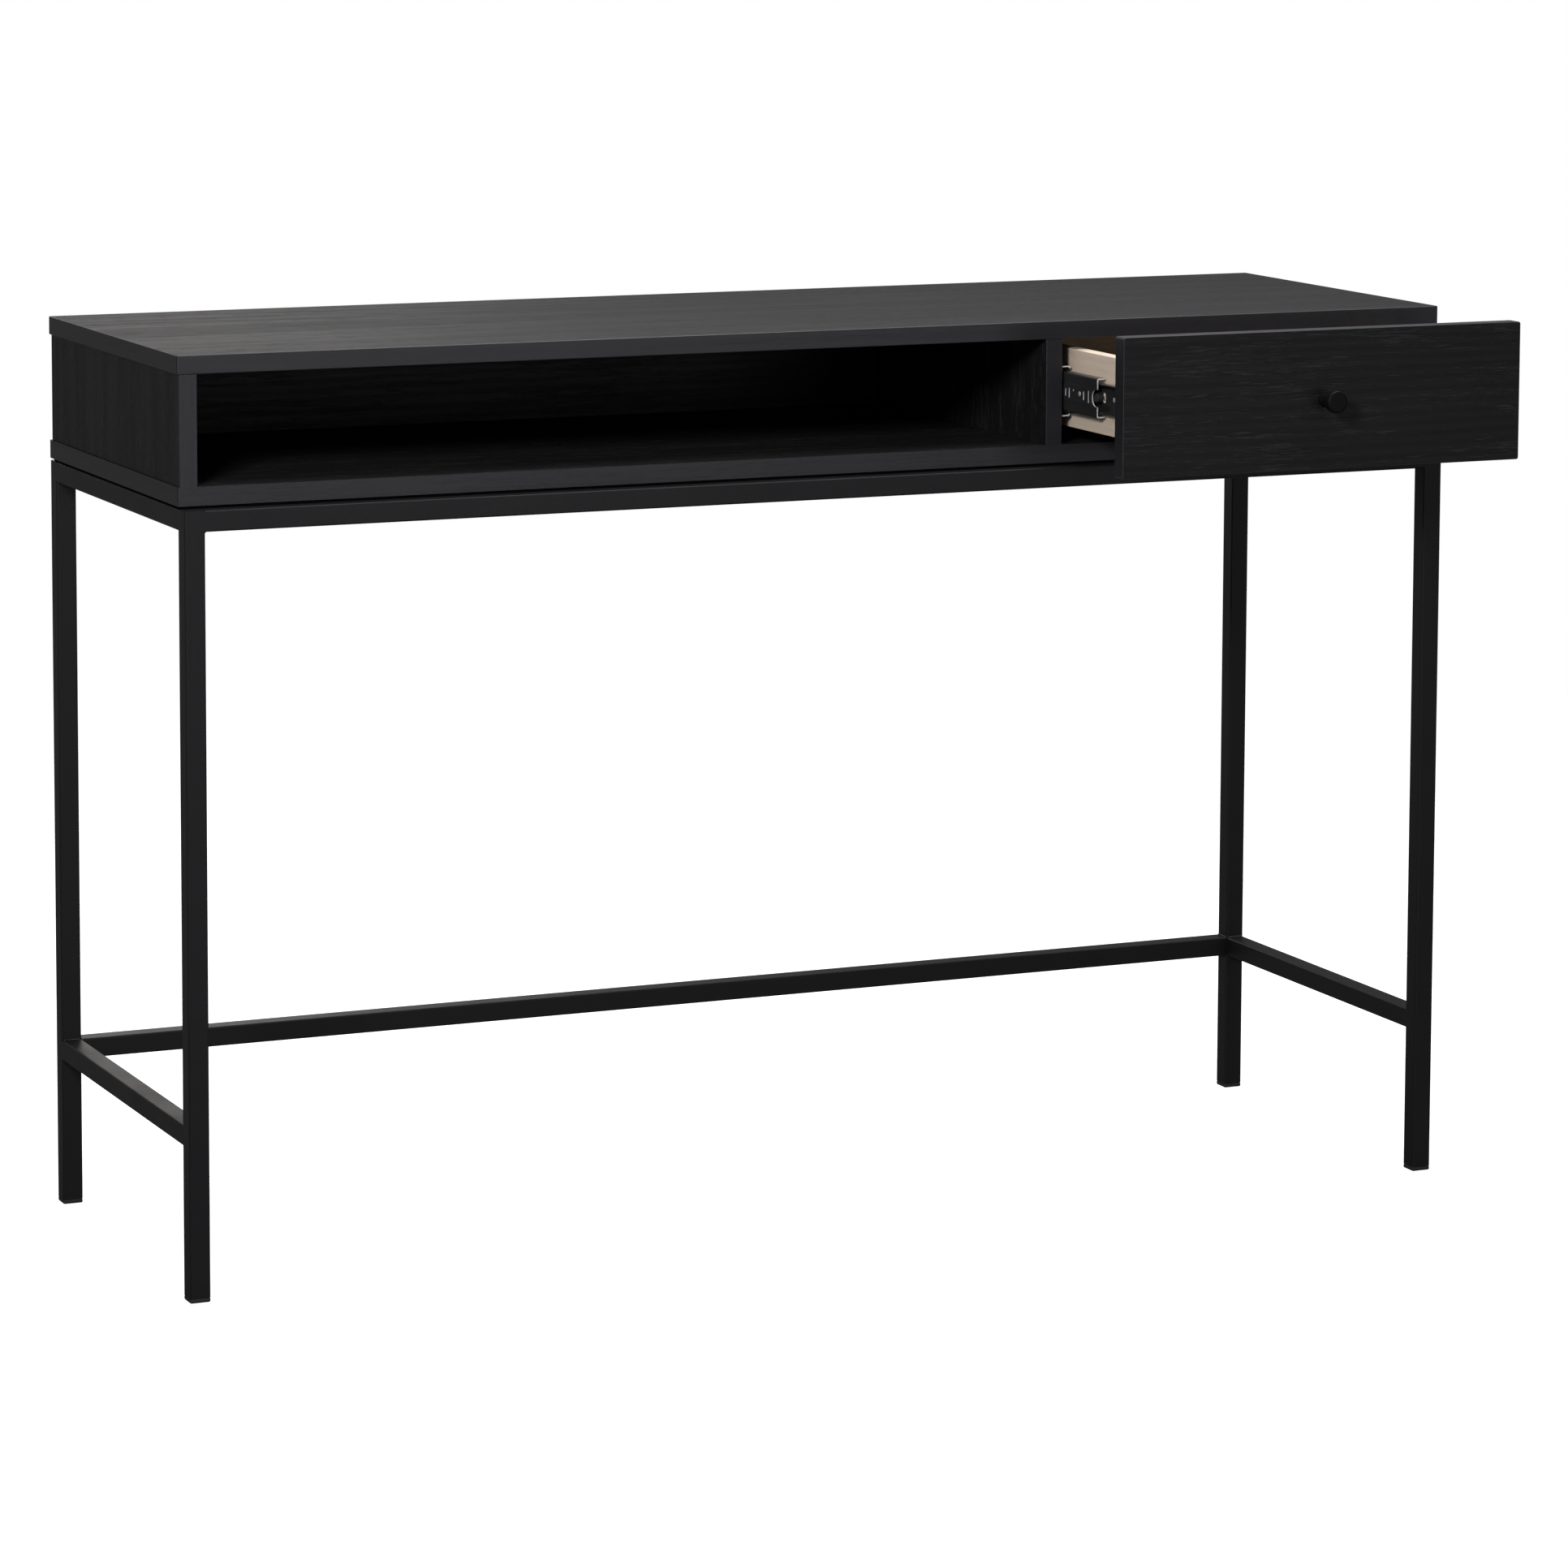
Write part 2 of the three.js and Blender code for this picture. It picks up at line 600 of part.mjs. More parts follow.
// Section of a drawer side or back, with the groove for the drawer bottom on its +X face.
function groovedSection() {
  const low = GROOVE_HEIGHT;
  const high = GROOVE_HEIGHT + DRAWER_BOTTOM + 2 * GROOVE_CLEARANCE;
  const floor = DRAWER_WALL - GROOVE_DEPTH;
  return [
    [0, 0],
    [DRAWER_WALL, 0],
    [DRAWER_WALL, low],
    [floor, low],
    [floor, high],
    [DRAWER_WALL, high],
    [DRAWER_WALL, drawerBoxHeight],
    [0, drawerBoxHeight],
  ];
}

// The left drawer side at x = 0; the right one is this one turned by its mirroring group.
function drawerSide() {
  const side = barAlongY(groovedSection(), drawerBoxLength);
  const holeHeight = slideHeight - drawerBoxBottom;
  const firstHole = SLIDE_SETBACK + FRONT_GAP;
  const holes = screwOffsets.map((offset) =>
    slideScrew(SCREW_CLEARANCE).translate(-SHEET, firstHole + offset, holeHeight),
  );
  return cut(side, holes);
}

function drawer() {
  const middleX = (frontLeft + frontRight) / 2;
  const middleZ = (frontBottom + frontTop) / 2;
  const screwHole = rod(KNOB_SCREW_RADIUS + KNOB_SCREW_CLEARANCE, 2 * BOARD, 0, 0, -BOARD);
  screwHole.rotateX(Math.PI / 2);
  screwHole.translate(middleX, -FRONT_GAP - BOARD / 2, middleZ);
  const frontBoard = block([frontLeft, drawerFace, frontBottom], [frontRight, -FRONT_GAP, frontTop]);
  const front = piece("drawer_front", cut(frontBoard, [screwHole]), blackVeneer);

  const knobMesh = piece("knob", knob(), blackKnob, middleX, drawerFace, middleZ);
  knobMesh.rotation.x = Math.PI;
  const screw = piece("knob_screw", knobScrew(), brightSteel, middleX, -FRONT_GAP, middleZ);
  screw.rotation.x = Math.PI / 2;

  const left = piece("drawer_side_left", drawerSide(), paleWood);
  left.position.set(drawerLeft, -FRONT_GAP, drawerBoxBottom);
  const right = piece("drawer_side_right", drawerSide(), paleWood);
  right.position.set(drawerRight, -FRONT_GAP, drawerBoxBottom);
  right.scale.x = -1;

  const innerLeft = drawerLeft + DRAWER_WALL;
  const innerRight = drawerRight - DRAWER_WALL;
  const back = piece("drawer_back", barAlongY(groovedSection(), innerRight - innerLeft), paleWood);
  back.rotation.z = -Math.PI / 2;
  back.position.set(innerLeft, drawerBoxRear, drawerBoxBottom);

  const tongue = GROOVE_DEPTH - GROOVE_CLEARANCE;
  const sheetBottom = drawerBoxBottom + GROOVE_HEIGHT + GROOVE_CLEARANCE;
  const sheetRear = drawerBoxRear - DRAWER_WALL + tongue;
  const sheet = block(
    [innerLeft - tongue, -FRONT_GAP, sheetBottom],
    [innerRight + tongue, sheetRear, sheetBottom + DRAWER_BOTTOM],
  );
  const group = groupOf(front, knobMesh, screw, left, right, back);
  group.add(piece("drawer_bottom", sheet, paleWood));
  group.position.y = -DRAWER_OPEN;
  return group;
}

// ---------------------------------------------------------------- the desk

const desk = groupOf(box(), frame(), fastenings(), slides(), drawer());
desk.position.y = -originY;

export default groupOf(desk);
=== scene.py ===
"""Looks of a black writing desk: a veneered box with an open compartment and one drawer
on ball bearing slides, standing on a welded frame of square steel tube."""

import math

import bmesh
import bpy
from bpy.props import FloatProperty, FloatVectorProperty, IntProperty, PointerProperty
from mathutils import Matrix, Vector


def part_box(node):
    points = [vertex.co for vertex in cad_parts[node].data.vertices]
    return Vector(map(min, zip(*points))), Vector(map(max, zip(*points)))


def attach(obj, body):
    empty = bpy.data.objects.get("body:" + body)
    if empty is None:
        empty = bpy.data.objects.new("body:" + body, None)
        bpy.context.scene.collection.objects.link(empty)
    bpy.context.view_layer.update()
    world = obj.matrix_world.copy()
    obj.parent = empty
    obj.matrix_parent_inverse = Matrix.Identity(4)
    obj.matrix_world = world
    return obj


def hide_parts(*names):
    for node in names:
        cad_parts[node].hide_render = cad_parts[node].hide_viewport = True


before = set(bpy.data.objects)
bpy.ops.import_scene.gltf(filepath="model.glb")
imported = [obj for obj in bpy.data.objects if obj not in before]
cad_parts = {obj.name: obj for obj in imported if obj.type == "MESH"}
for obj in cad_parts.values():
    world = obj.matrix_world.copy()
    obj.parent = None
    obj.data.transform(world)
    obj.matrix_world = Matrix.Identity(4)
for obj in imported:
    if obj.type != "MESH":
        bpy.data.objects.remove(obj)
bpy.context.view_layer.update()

bl_info = {
    "name": "Writing desk with one drawer",
    "version": (1, 0, 0),
    "blender": (4, 5, 0),
    "location": "3D View > Sidebar > Desk",
    "description": "Builds the veneered box, steel frame, drawer, slides and studio of a desk",
    "category": "Object",
}

SIDES = ("left", "right")
CORNERS = ("front_left", "front_right", "rear_left", "rear_right")
STRIP_PLACES = ("front", "rear", "left", "right")
BOLT_PLACES = ("left_front", "left_rear", "right_front", "right_rear", "rear_left", "rear_right")
MM = 0.001
MERGE_DISTANCE = 0.000002
FLAT_ANGLE = math.radians(0.5)
SHARP_ANGLE = math.radians(38)
EDGE_MARK = "edge"
ROUND_TUBE_ANGLE = math.radians(50)
BENT_SHEET_ANGLE = math.radians(32)
MEETING_ANGLE = math.radians(60)


# ---------------------------------------------------------------- sizes and colours


class DeskPieceSizes(bpy.types.PropertyGroup):
    """Small sizes of the pieces that a user may change"""

    corner_rounding: FloatProperty(
        name="Board corners",
        description="Radius of the upright corners of the desk top and drawer front",
        default=2 * MM,
        min=0.3 * MM,
        max=4 * MM,
        unit="LENGTH",
    )
    edge_rounding: FloatProperty(
        name="Board edges",
        description="Radius of the long edges of the veneered boards",
        default=0.8 * MM,
        min=0.1 * MM,
        max=2 * MM,
        unit="LENGTH",
    )
    drawer_edge_rounding: FloatProperty(
        name="Drawer box edges",
        description="Radius of the edges of the drawer sides and back",
        default=0.6 * MM,
        min=0.1 * MM,
        max=1.5 * MM,
        unit="LENGTH",
    )
    tube_corner: FloatProperty(
        name="Tube corners",
        description="Outer radius of the corners of the frame's square tube",
        default=1.6 * MM,
        min=0.5 * MM,
        max=4 * MM,
        unit="LENGTH",
    )
    sheet: FloatProperty(
        name="Slide sheet",
        description="Thickness of the steel that the slide members are bent from",
        default=1.2 * MM,
        min=0.8 * MM,
        max=1.5 * MM,
        unit="LENGTH",
    )
    bend: FloatProperty(
        name="Slide bends",
        description="Radius of the slide members' bends, in the middle of the sheet",
        default=1.3 * MM,
        min=0.7 * MM,
        max=1.6 * MM,
        unit="LENGTH",
    )
    ball: FloatProperty(
        name="Balls",
        description="Diameter of the bearing balls",
        default=3.6 * MM,
        min=2 * MM,
        max=3.8 * MM,
        unit="LENGTH",
    )
    ball_count: IntProperty(
        name="Balls in a row",
        description="Number of balls in each row of a ball cage",
        default=20,
        min=4,
        max=30,
    )
    weld: FloatProperty(
        name="Weld bead",
        description="Half the width of the weld beads in the frame's corners",
        default=1.1 * MM,
        min=0.4 * MM,
        max=2 * MM,
        unit="LENGTH",
    )
    weld_pitch: FloatProperty(
        name="Weld ripple",
        description="Distance from one ripple of a weld bead to the next",
        default=1.1 * MM,
        min=0.5 * MM,
        max=3 * MM,
        unit="LENGTH",
    )


class DeskFinishColours(bpy.types.PropertyGroup):
    """Colours of the finishes"""

    veneer: FloatVectorProperty(
        name="Veneer",
        description="Stained veneer, between its pores",
        default=(0.0030, 0.0030, 0.0038),
        subtype="COLOR",
        min=0,
        max=1,
    )
    veneer_light: FloatVectorProperty(
        name="Veneer, light streaks",
        description="Lighter fibres of the stained veneer",
        default=(0.0085, 0.0083, 0.0090),
        subtype="COLOR",
        min=0,
        max=1,
    )
    edging: FloatVectorProperty(
        name="Edging",
        description="Edge band on the narrow sides of the boards",
        default=(0.0108, 0.0104, 0.0131),
        subtype="COLOR",
        min=0,
        max=1,
    )
    coat: FloatVectorProperty(
        name="Powder coat",
        description="Coat on the steel frame",
        default=(0.0046, 0.0046, 0.0056),
        subtype="COLOR",
        min=0,
        max=1,
    )
    drawer_wood: FloatVectorProperty(
        name="Drawer wood",
        description="Pale board of the drawer box",
        default=(0.52, 0.43, 0.345),
        subtype="COLOR",
        min=0,
        max=1,
    )
    slide_black: FloatVectorProperty(
        name="Slide black",
        description="Dark coat on the slide members",
        default=(0.0130, 0.0130, 0.0140),
        subtype="COLOR",
        min=0,
        max=1,
    )
    steel: FloatVectorProperty(
        name="Bright steel",
        description="Zinc plated and bare steel",
        default=(0.76, 0.76, 0.77),
        subtype="COLOR",
        min=0,
        max=1,
    )
    knob: FloatVectorProperty(
        name="Knob",
        description="Satin coat on the knob",
        default=(0.0040, 0.0040, 0.0043),
        subtype="COLOR",
        min=0,
        max=1,
    )


class DeskStudio(bpy.types.PropertyGroup):
    """Floor, lights and camera"""

    floor: FloatVectorProperty(
        name="Floor",
        description="Colour of the floor",
        default=(0.90, 0.90, 0.90),
        subtype="COLOR",
        min=0,
        max=1,
    )
    room: FloatProperty(
        name="Room light",
        description="Strength of the soft light from all round",
        default=0.20,
        min=0,
        max=2,
    )
    window: FloatProperty(
        name="Left light",
        description="Power of the light in front of the desk at the left",
        default=36,
        min=0,
        unit="POWER",
    )
    ceiling: FloatProperty(
        name="Ceiling light",
        description="Power of the wide light above the desk",
        default=105,
        min=0,
        unit="POWER",
    )
    rear: FloatProperty(
        name="Rear light",
        description="Power of the light behind the desk that shows on its top",
        default=15,
        min=0,
        unit="POWER",
    )
    front: FloatProperty(
        name="Front light",
        description="Power of the weak light in front of the desk at the right",
        default=24,
        min=0,
        unit="POWER",
    )
    camera: FloatVectorProperty(
        name="Camera",
        description="Place of the camera",
        default=(-2.0631, -4.6491, 1.2933),
        subtype="TRANSLATION",
        unit="LENGTH",
    )
    turn: FloatProperty(
        name="Turn",
        description="Camera's turn to the right of straight ahead",
        default=math.radians(23.862),
        unit="ROTATION",
    )
    tilt: FloatProperty(
        name="Tilt",
        description="Camera's tilt below the horizon",
        default=math.radians(6.397),
        unit="ROTATION",
    )
    roll: FloatProperty(
        name="Roll",
        description="Camera's roll, counter-clockwise",
        default=math.radians(0.232),
        unit="ROTATION",
    )
    lens: FloatProperty(
        name="Lens",
        description="Focal length in millimetres",
        default=132.67,
        min=20,
        max=300,
    )
    rise: FloatProperty(
        name="Lens shift",
        description="Vertical shift of the lens, as a share of the picture's width",
        default=-0.2412,
        min=-0.3,
        max=0.3,
    )


# ---------------------------------------------------------------- node trees


class NodeBoard:
    """Adds nodes to one node tree from left to right and joins them"""

    def __init__(self, tree):
        self.tree = tree
        self.places = 0

    def add(self, kind, **settings):
        node = self.tree.nodes.new(kind)
        node.location = (220 * (self.places % 8), -260 * (self.places // 8))
        self.places += 1
        for key, value in settings.items():
            setattr(node, key, value)
        return node

    def feed(self, socket, value):
        if isinstance(value, bpy.types.NodeSocket):
            self.tree.links.new(value, socket)
        else:
            socket.default_value = value

    def sum(self, operation, *values):
        node = self.add("ShaderNodeMath", operation=operation)
        for socket, value in zip(node.inputs, values):
            self.feed(socket, value)
        return node.outputs[0]

    def stretch(self, vector, scale):
        node = self.add("ShaderNodeVectorMath", operation="MULTIPLY")
        self.feed(node.inputs[0], vector)
        self.feed(node.inputs[1], scale)
        return node.outputs[0]

    def noise(self, vector, scale, detail=3.0, roughness=0.5):
        node = self.add("ShaderNodeTexNoise", noise_dimensions="3D")
        self.feed(node.inputs["Vector"], vector)
        self.feed(node.inputs["Scale"], scale)
        self.feed(node.inputs["Detail"], detail)
        self.feed(node.inputs["Roughness"], roughness)
        return node.outputs[0]

    def span(self, value, low, high, to_low=0.0, to_high=1.0):
        node = self.add("ShaderNodeMapRange", clamp=True)
        for name, number in (
            ("Value", value),
            ("From Min", low),
            ("From Max", high),
            ("To Min", to_low),
            ("To Max", to_high),
        ):
            self.feed(node.inputs[name], number)
        return node.outputs[0]

    def blend(self, factor, first, second):
        node = self.add("ShaderNodeMix", data_type="RGBA")
        self.feed(node.inputs[0], factor)
        self.feed(node.inputs[6], first)
        self.feed(node.inputs[7], second)
        return node.outputs[2]

    def place(self, turn=(0, 0, 0)):
        """Object coordinates, turned so that a pattern can run along another side"""
        coordinates = self.add("ShaderNodeTexCoord")
        mapping = self.add("ShaderNodeMapping")
        self.feed(mapping.inputs["Vector"], coordinates.outputs["Object"])
        mapping.inputs["Rotation"].default_value = turn
        return mapping.outputs[0]

    def effect(self, group, **values):
        node = self.add("ShaderNodeGroup")
        node.node_tree = group
        for name, value in values.items():
            self.feed(node.inputs[name.replace("_", " ").title()], value)
        return node


def new_group(name, inputs, outputs):
    """Shader node group with named sockets, and the board to build it on"""
    tree = bpy.data.node_groups.new(name, "ShaderNodeTree")
    for label, kind, value in inputs:
        socket = tree.interface.new_socket(label, in_out="INPUT", socket_type=kind)
        if value is not None:
            socket.default_value = value
    for label, kind in outputs:
        tree.interface.new_socket(label, in_out="OUTPUT", socket_type=kind)
    board = NodeBoard(tree)
    entry = board.add("NodeGroupInput")
    leave = board.add("NodeGroupOutput")
    leave.location = (1900, 0)
    return tree, board, entry.outputs, leave.inputs


FLOAT = "NodeSocketFloat"
VECTOR = "NodeSocketVector"


def wood_grain():
    """Fibres, open pores and figure of a veneer whose grain runs along the vector's X"""
    tree, board, given, made = new_group(
        "wood_grain",
        [("Vector", VECTOR, None), ("Pore Share", FLOAT, 0.35), ("Figure", FLOAT, 0.5)],
        [("Tone", FLOAT), ("Pores", FLOAT), ("Height", FLOAT)],
    )
    vector = given["Vector"]
    sway = board.noise(board.stretch(vector, (2.2, 9.0, 9.0)), 1.0, 2.0)
    bent = board.add("ShaderNodeVectorMath", operation="MULTIPLY_ADD")
    board.feed(bent.inputs[0], sway)
    bent.inputs[1].default_value = (0.0, 0.010, 0.010)
    board.feed(bent.inputs[2], vector)
    bent = bent.outputs[0]
    fibres = board.noise(board.stretch(bent, (9.0, 620.0, 620.0)), 1.0, 4.0, 0.62)
    streaks = board.noise(board.stretch(bent, (3.5, 95.0, 95.0)), 1.0, 3.0, 0.55)
    pore_noise = board.noise(board.stretch(bent, (42.0, 1150.0, 1150.0)), 1.0, 2.0, 0.5)
    clusters = board.noise(board.stretch(bent, (7.0, 80.0, 80.0)), 1.0, 2.0, 0.5)
    threshold = board.span(clusters, 0.30, 0.72, 0.72, 0.52)
    threshold = board.sum("SUBTRACT", threshold, board.sum("MULTIPLY", given["Pore Share"], 0.08))
    pores = board.span(board.sum("SUBTRACT", pore_noise, threshold), 0.0, 0.05)
    rings = board.add("ShaderNodeTexWave", wave_type="RINGS", rings_direction="X")
    board.feed(rings.inputs["Vector"], board.stretch(bent, (0.9, 22.0, 22.0)))
    rings.inputs["Scale"].default_value = 1.6
    rings.inputs["Distortion"].default_value = 5.0
    rings.inputs["Detail"].default_value = 3.0
    rings.inputs["Detail Scale"].default_value = 0.8
    figure = board.sum("MULTIPLY", rings.outputs[1], given["Figure"])
    tone = board.sum("MULTIPLY_ADD", fibres, 0.45, board.sum("MULTIPLY", streaks, 0.35))
    tone = board.sum("MULTIPLY_ADD", figure, 0.35, tone)
    board.feed(made["Tone"], board.span(tone, 0.28, 0.85))
    board.feed(made["Pores"], pores)
    height = board.sum("MULTIPLY_ADD", fibres, 0.35, board.sum("MULTIPLY", pores, -0.8))
    board.feed(made["Height"], board.sum("MULTIPLY_ADD", streaks, 0.15, height))
    return tree


def edge_wear():
    """Share of rubbed finish on the marked edges, broken up by noise"""
    tree, board, given, made = new_group(
        "edge_wear",
        [("Vector", VECTOR, None), ("Amount", FLOAT, 0.5), ("Grain", FLOAT, 180.0)],
        [("Worn", FLOAT)],
    )
    mark = board.add("ShaderNodeAttribute", attribute_type="GEOMETRY", attribute_name=EDGE_MARK)
    patches = board.noise(given["Vector"], given["Grain"], 4.0, 0.65)
    broken = board.span(patches, 0.38, 0.68)
    rubbed = board.sum("MULTIPLY", mark.outputs["Fac"], broken)
    board.feed(made["Worn"], board.sum("MULTIPLY", rubbed, given["Amount"]))
    return tree


def light_dust():
    """Thin dust on what faces up, in soft patches"""
    tree, board, given, made = new_group(
        "light_dust",
        [("Vector", VECTOR, None), ("Amount", FLOAT, 0.1)],
        [("Dust", FLOAT)],
    )
    facing = board.add("ShaderNodeNewGeometry")
    split = board.add("ShaderNodeSeparateXYZ")
    board.feed(split.inputs[0], facing.outputs["Normal"])
    upward = board.span(split.outputs["Z"], 0.35, 1.0)
    cloud = board.span(board.noise(given["Vector"], 9.0, 5.0, 0.6), 0.35, 0.75)
    specks = board.span(board.noise(given["Vector"], 900.0, 1.0, 0.5), 0.68, 0.74)
    settled = board.sum("MULTIPLY", board.sum("MULTIPLY_ADD", specks, 0.6, cloud), upward)
    dust = board.sum("MULTIPLY", settled, given["Amount"])
    board.feed(made["Dust"], dust)
    return tree


def fine_texture():
    """Small pebbled surface of a coat or a moulding, with larger soft patches"""
    tree, board, given, made = new_group(
        "fine_texture",
        [("Vector", VECTOR, None), ("Scale", FLOAT, 1400.0)],
        [("Height", FLOAT), ("Patches", FLOAT)],
    )
    pebbles = board.noise(given["Vector"], given["Scale"], 2.0, 0.55)
    coarse = board.noise(given["Vector"], board.sum("MULTIPLY", given["Scale"], 0.28), 2.0, 0.5)
    board.feed(made["Height"], board.sum("MULTIPLY_ADD", coarse, 0.6, pebbles))
    board.feed(made["Patches"], board.noise(given["Vector"], 14.0, 4.0, 0.6))
    return tree


class Effects:
    """The shader node groups, each built once"""

    made = {}

    @classmethod
    def get(cls, maker):
        if maker.__name__ not in cls.made:
            cls.made[maker.__name__] = maker()
        return cls.made[maker.__name__]


def new_material(name):
    """Empty material, the board to build it on and its shader's sockets"""
    material = bpy.data.materials.new(name)
    material.use_nodes = True
    material.node_tree.nodes.clear()
    board = NodeBoard(material.node_tree)
    shader = board.add("ShaderNodeBsdfPrincipled")
    output = board.add("ShaderNodeOutputMaterial")
    shader.location = (1900, 0)
    output.location = (2200, 0)
    board.feed(output.inputs["Surface"], shader.outputs[0])
    return material, board, shader.inputs


def relief(board, height, depth, strength):
    """Normal of a surface whose pattern stands up by that depth in metres"""
    bump = board.add("ShaderNodeBump")
    bump.inputs["Strength"].default_value = strength
    bump.inputs["Distance"].default_value = depth
    board.feed(bump.inputs["Height"], height)
    return bump.outputs[0]


GRAIN_TURNS = {
    "X": (0.0, 0.0, 0.0),
    "Y": (0.0, 0.0, math.radians(-90)),
    "Z": (0.0, math.radians(90), 0.0),
}


LACQUER_ROUGHEST = 0.66
LACQUER_SMOOTHEST = 0.50
LACQUER_SHEEN = 0.20
PORE_SHEEN = 0.07
# painted shade: the edge bands on the boards' short ends get a darker copy of the edging colour
END_BAND_PAINTED_SHADE = 0.62
DUST_COLOUR = (0.30, 0.29, 0.27, 1.0)
RUBBER_BLACK = (0.012, 0.012, 0.012)
# painted shade: the spacer strips in the gap under the box are coloured near black so that the gap looks
# shaded
FELT_PAINTED_SHADE = (0.0012, 0.0012, 0.0013)
# how finely each kind of bright steel is drawn along X, Y and Z
DRAWN_ALONG_Y = (600.0, 60.0, 600.0)
CUT_ACROSS = (900.0, 900.0, 90.0)
BALL_GRAIN = (150.0, 150.0, 150.0)


def opaque(colour, factor=1.0):
    """A colour made lighter or darker by the factor, with its fourth value"""
    return (colour[0] * factor, colour[1] * factor, colour[2] * factor, 1.0)


def veneer(name, grain, dark, light):
    """Stained open-grain veneer under a matt lacquer"""
    material, board, shader = new_material(name)
    vector = board.place(GRAIN_TURNS[grain])
    here = board.place()
    wood = board.effect(Effects.get(wood_grain), vector=vector, pore_share=0.4, figure=0.55)
    worn = board.effect(Effects.get(edge_wear), vector=here, amount=0.5, grain=220.0)
    dust = board.effect(Effects.get(light_dust), vector=here, amount=0.005)
    tone = wood.outputs["Tone"]
    pores = wood.outputs["Pores"]
    colour = board.blend(tone, opaque(dark), opaque(light))
    # the pores are painted lighter: partly dust settled in them, partly a painted highlight where their
    # edges catch the light
    colour = board.blend(board.sum("MULTIPLY", pores, 0.55), colour, opaque(light, 4.2))
    colour = board.blend(board.sum("MULTIPLY", worn.outputs[0], 0.35), colour, opaque(light, 3.2))
    colour = board.blend(dust.outputs[0], colour, DUST_COLOUR)
    board.feed(shader["Base Color"], colour)
    roughness = board.span(tone, 0.0, 1.0, LACQUER_ROUGHEST, LACQUER_SMOOTHEST)
    roughness = board.sum("MULTIPLY_ADD", pores, 0.12, roughness)
    board.feed(shader["Roughness"], board.sum("MULTIPLY_ADD", worn.outputs[0], -0.10, roughness))
    # open pores hold less lacquer and shine less
    board.feed(shader["Specular IOR Level"], board.span(pores, 0.0, 1.0, LACQUER_SHEEN, PORE_SHEEN))
    board.feed(shader["Normal"], relief(board, wood.outputs["Height"], 0.00034, 0.8))
    return material


def edge_band(name, grain, colour):
    """Edge band: the same stain on a closed, smoother strip"""
    material, board, shader = new_material(name)
    vector = board.place(GRAIN_TURNS[grain])
    here = board.place()
    wood = board.effect(Effects.get(wood_grain), vector=vector, pore_share=0.1, figure=0.2)
    worn = board.effect(Effects.get(edge_wear), vector=here, amount=0.7, grain=160.0)
    dust = board.effect(Effects.get(light_dust), vector=here, amount=0.006)
    tone = wood.outputs["Tone"]
    shade = board.blend(tone, opaque(colour, 0.82), opaque(colour, 1.18))
    shade = board.blend(board.sum("MULTIPLY", wood.outputs["Pores"], 0.35), shade, opaque(colour, 0.5))
    shade = board.blend(board.sum("MULTIPLY", worn.outputs[0], 0.5), shade, opaque(colour, 3.4))
    shade = board.blend(dust.outputs[0], shade, DUST_COLOUR)
    board.feed(shader["Base Color"], shade)
    board.feed(shader["Roughness"], board.span(tone, 0.0, 1.0, 0.50, 0.40))
    shader["Specular IOR Level"].default_value = 0.36
    board.feed(shader["Normal"], relief(board, wood.outputs["Height"], 0.00008, 0.5))
    return material


def pale_board(name, grain, colour):
    """Pale board of the drawer box, matt and barely figured"""
    material, board, shader = new_material(name)
    vector = board.place(GRAIN_TURNS[grain])
    here = board.place()
    wood = board.effect(Effects.get(wood_grain), vector=vector, pore_share=0.25, figure=0.6)
    worn = board.effect(Effects.get(edge_wear), vector=here, amount=0.5, grain=300.0)
    tone = wood.outputs["Tone"]
    shade = board.blend(tone, opaque(colour, 0.90), opaque(colour, 1.08))
    shade = board.blend(
        board.sum("MULTIPLY", wood.outputs["Pores"], 0.5), shade, opaque(colour, 0.70)
    )
    shade = board.blend(board.sum("MULTIPLY", worn.outputs[0], 0.5), shade, opaque(colour, 1.35))
    board.feed(shader["Base Color"], shade)
    board.feed(shader["Roughness"], board.span(tone, 0.0, 1.0, 0.68, 0.56))
    shader["Specular IOR Level"].default_value = 0.4
    board.feed(shader["Normal"], relief(board, wood.outputs["Height"], 0.00010, 0.6))
    return material


def coated(name, colour, rough, sheen, texture_scale, depth, wear_colour=None, metal_wear=0.0):
    """Painted, moulded or dipped surface: fine texture, soft patches and rubbed edges"""
    material, board, shader = new_material(name)
    here = board.place()
    texture = board.effect(Effects.get(fine_texture), vector=here, scale=texture_scale)
    worn = board.effect(Effects.get(edge_wear), vector=here, amount=0.6, grain=240.0)
    dust = board.effect(Effects.get(light_dust), vector=here, amount=0.005)
    patches = texture.outputs["Patches"]
    shade = board.blend(patches, opaque(colour, 0.80), opaque(colour, 1.25))
    shade = board.blend(worn.outputs[0], shade, wear_colour or opaque(colour, 2.6))
    shade = board.blend(dust.outputs[0], shade, DUST_COLOUR)
    board.feed(shader["Base Color"], shade)
    roughness = board.span(patches, 0.25, 0.75, rough - 0.05, rough + 0.06)
    board.feed(shader["Roughness"], board.sum("MULTIPLY_ADD", worn.outputs[0], -0.08, roughness))
    if metal_wear:
        board.feed(shader["Metallic"], board.sum("MULTIPLY", worn.outputs[0], metal_wear))
    shader["Specular IOR Level"].default_value = sheen
    board.feed(shader["Normal"], relief(board, texture.outputs["Height"], depth, 0.6))
    return material


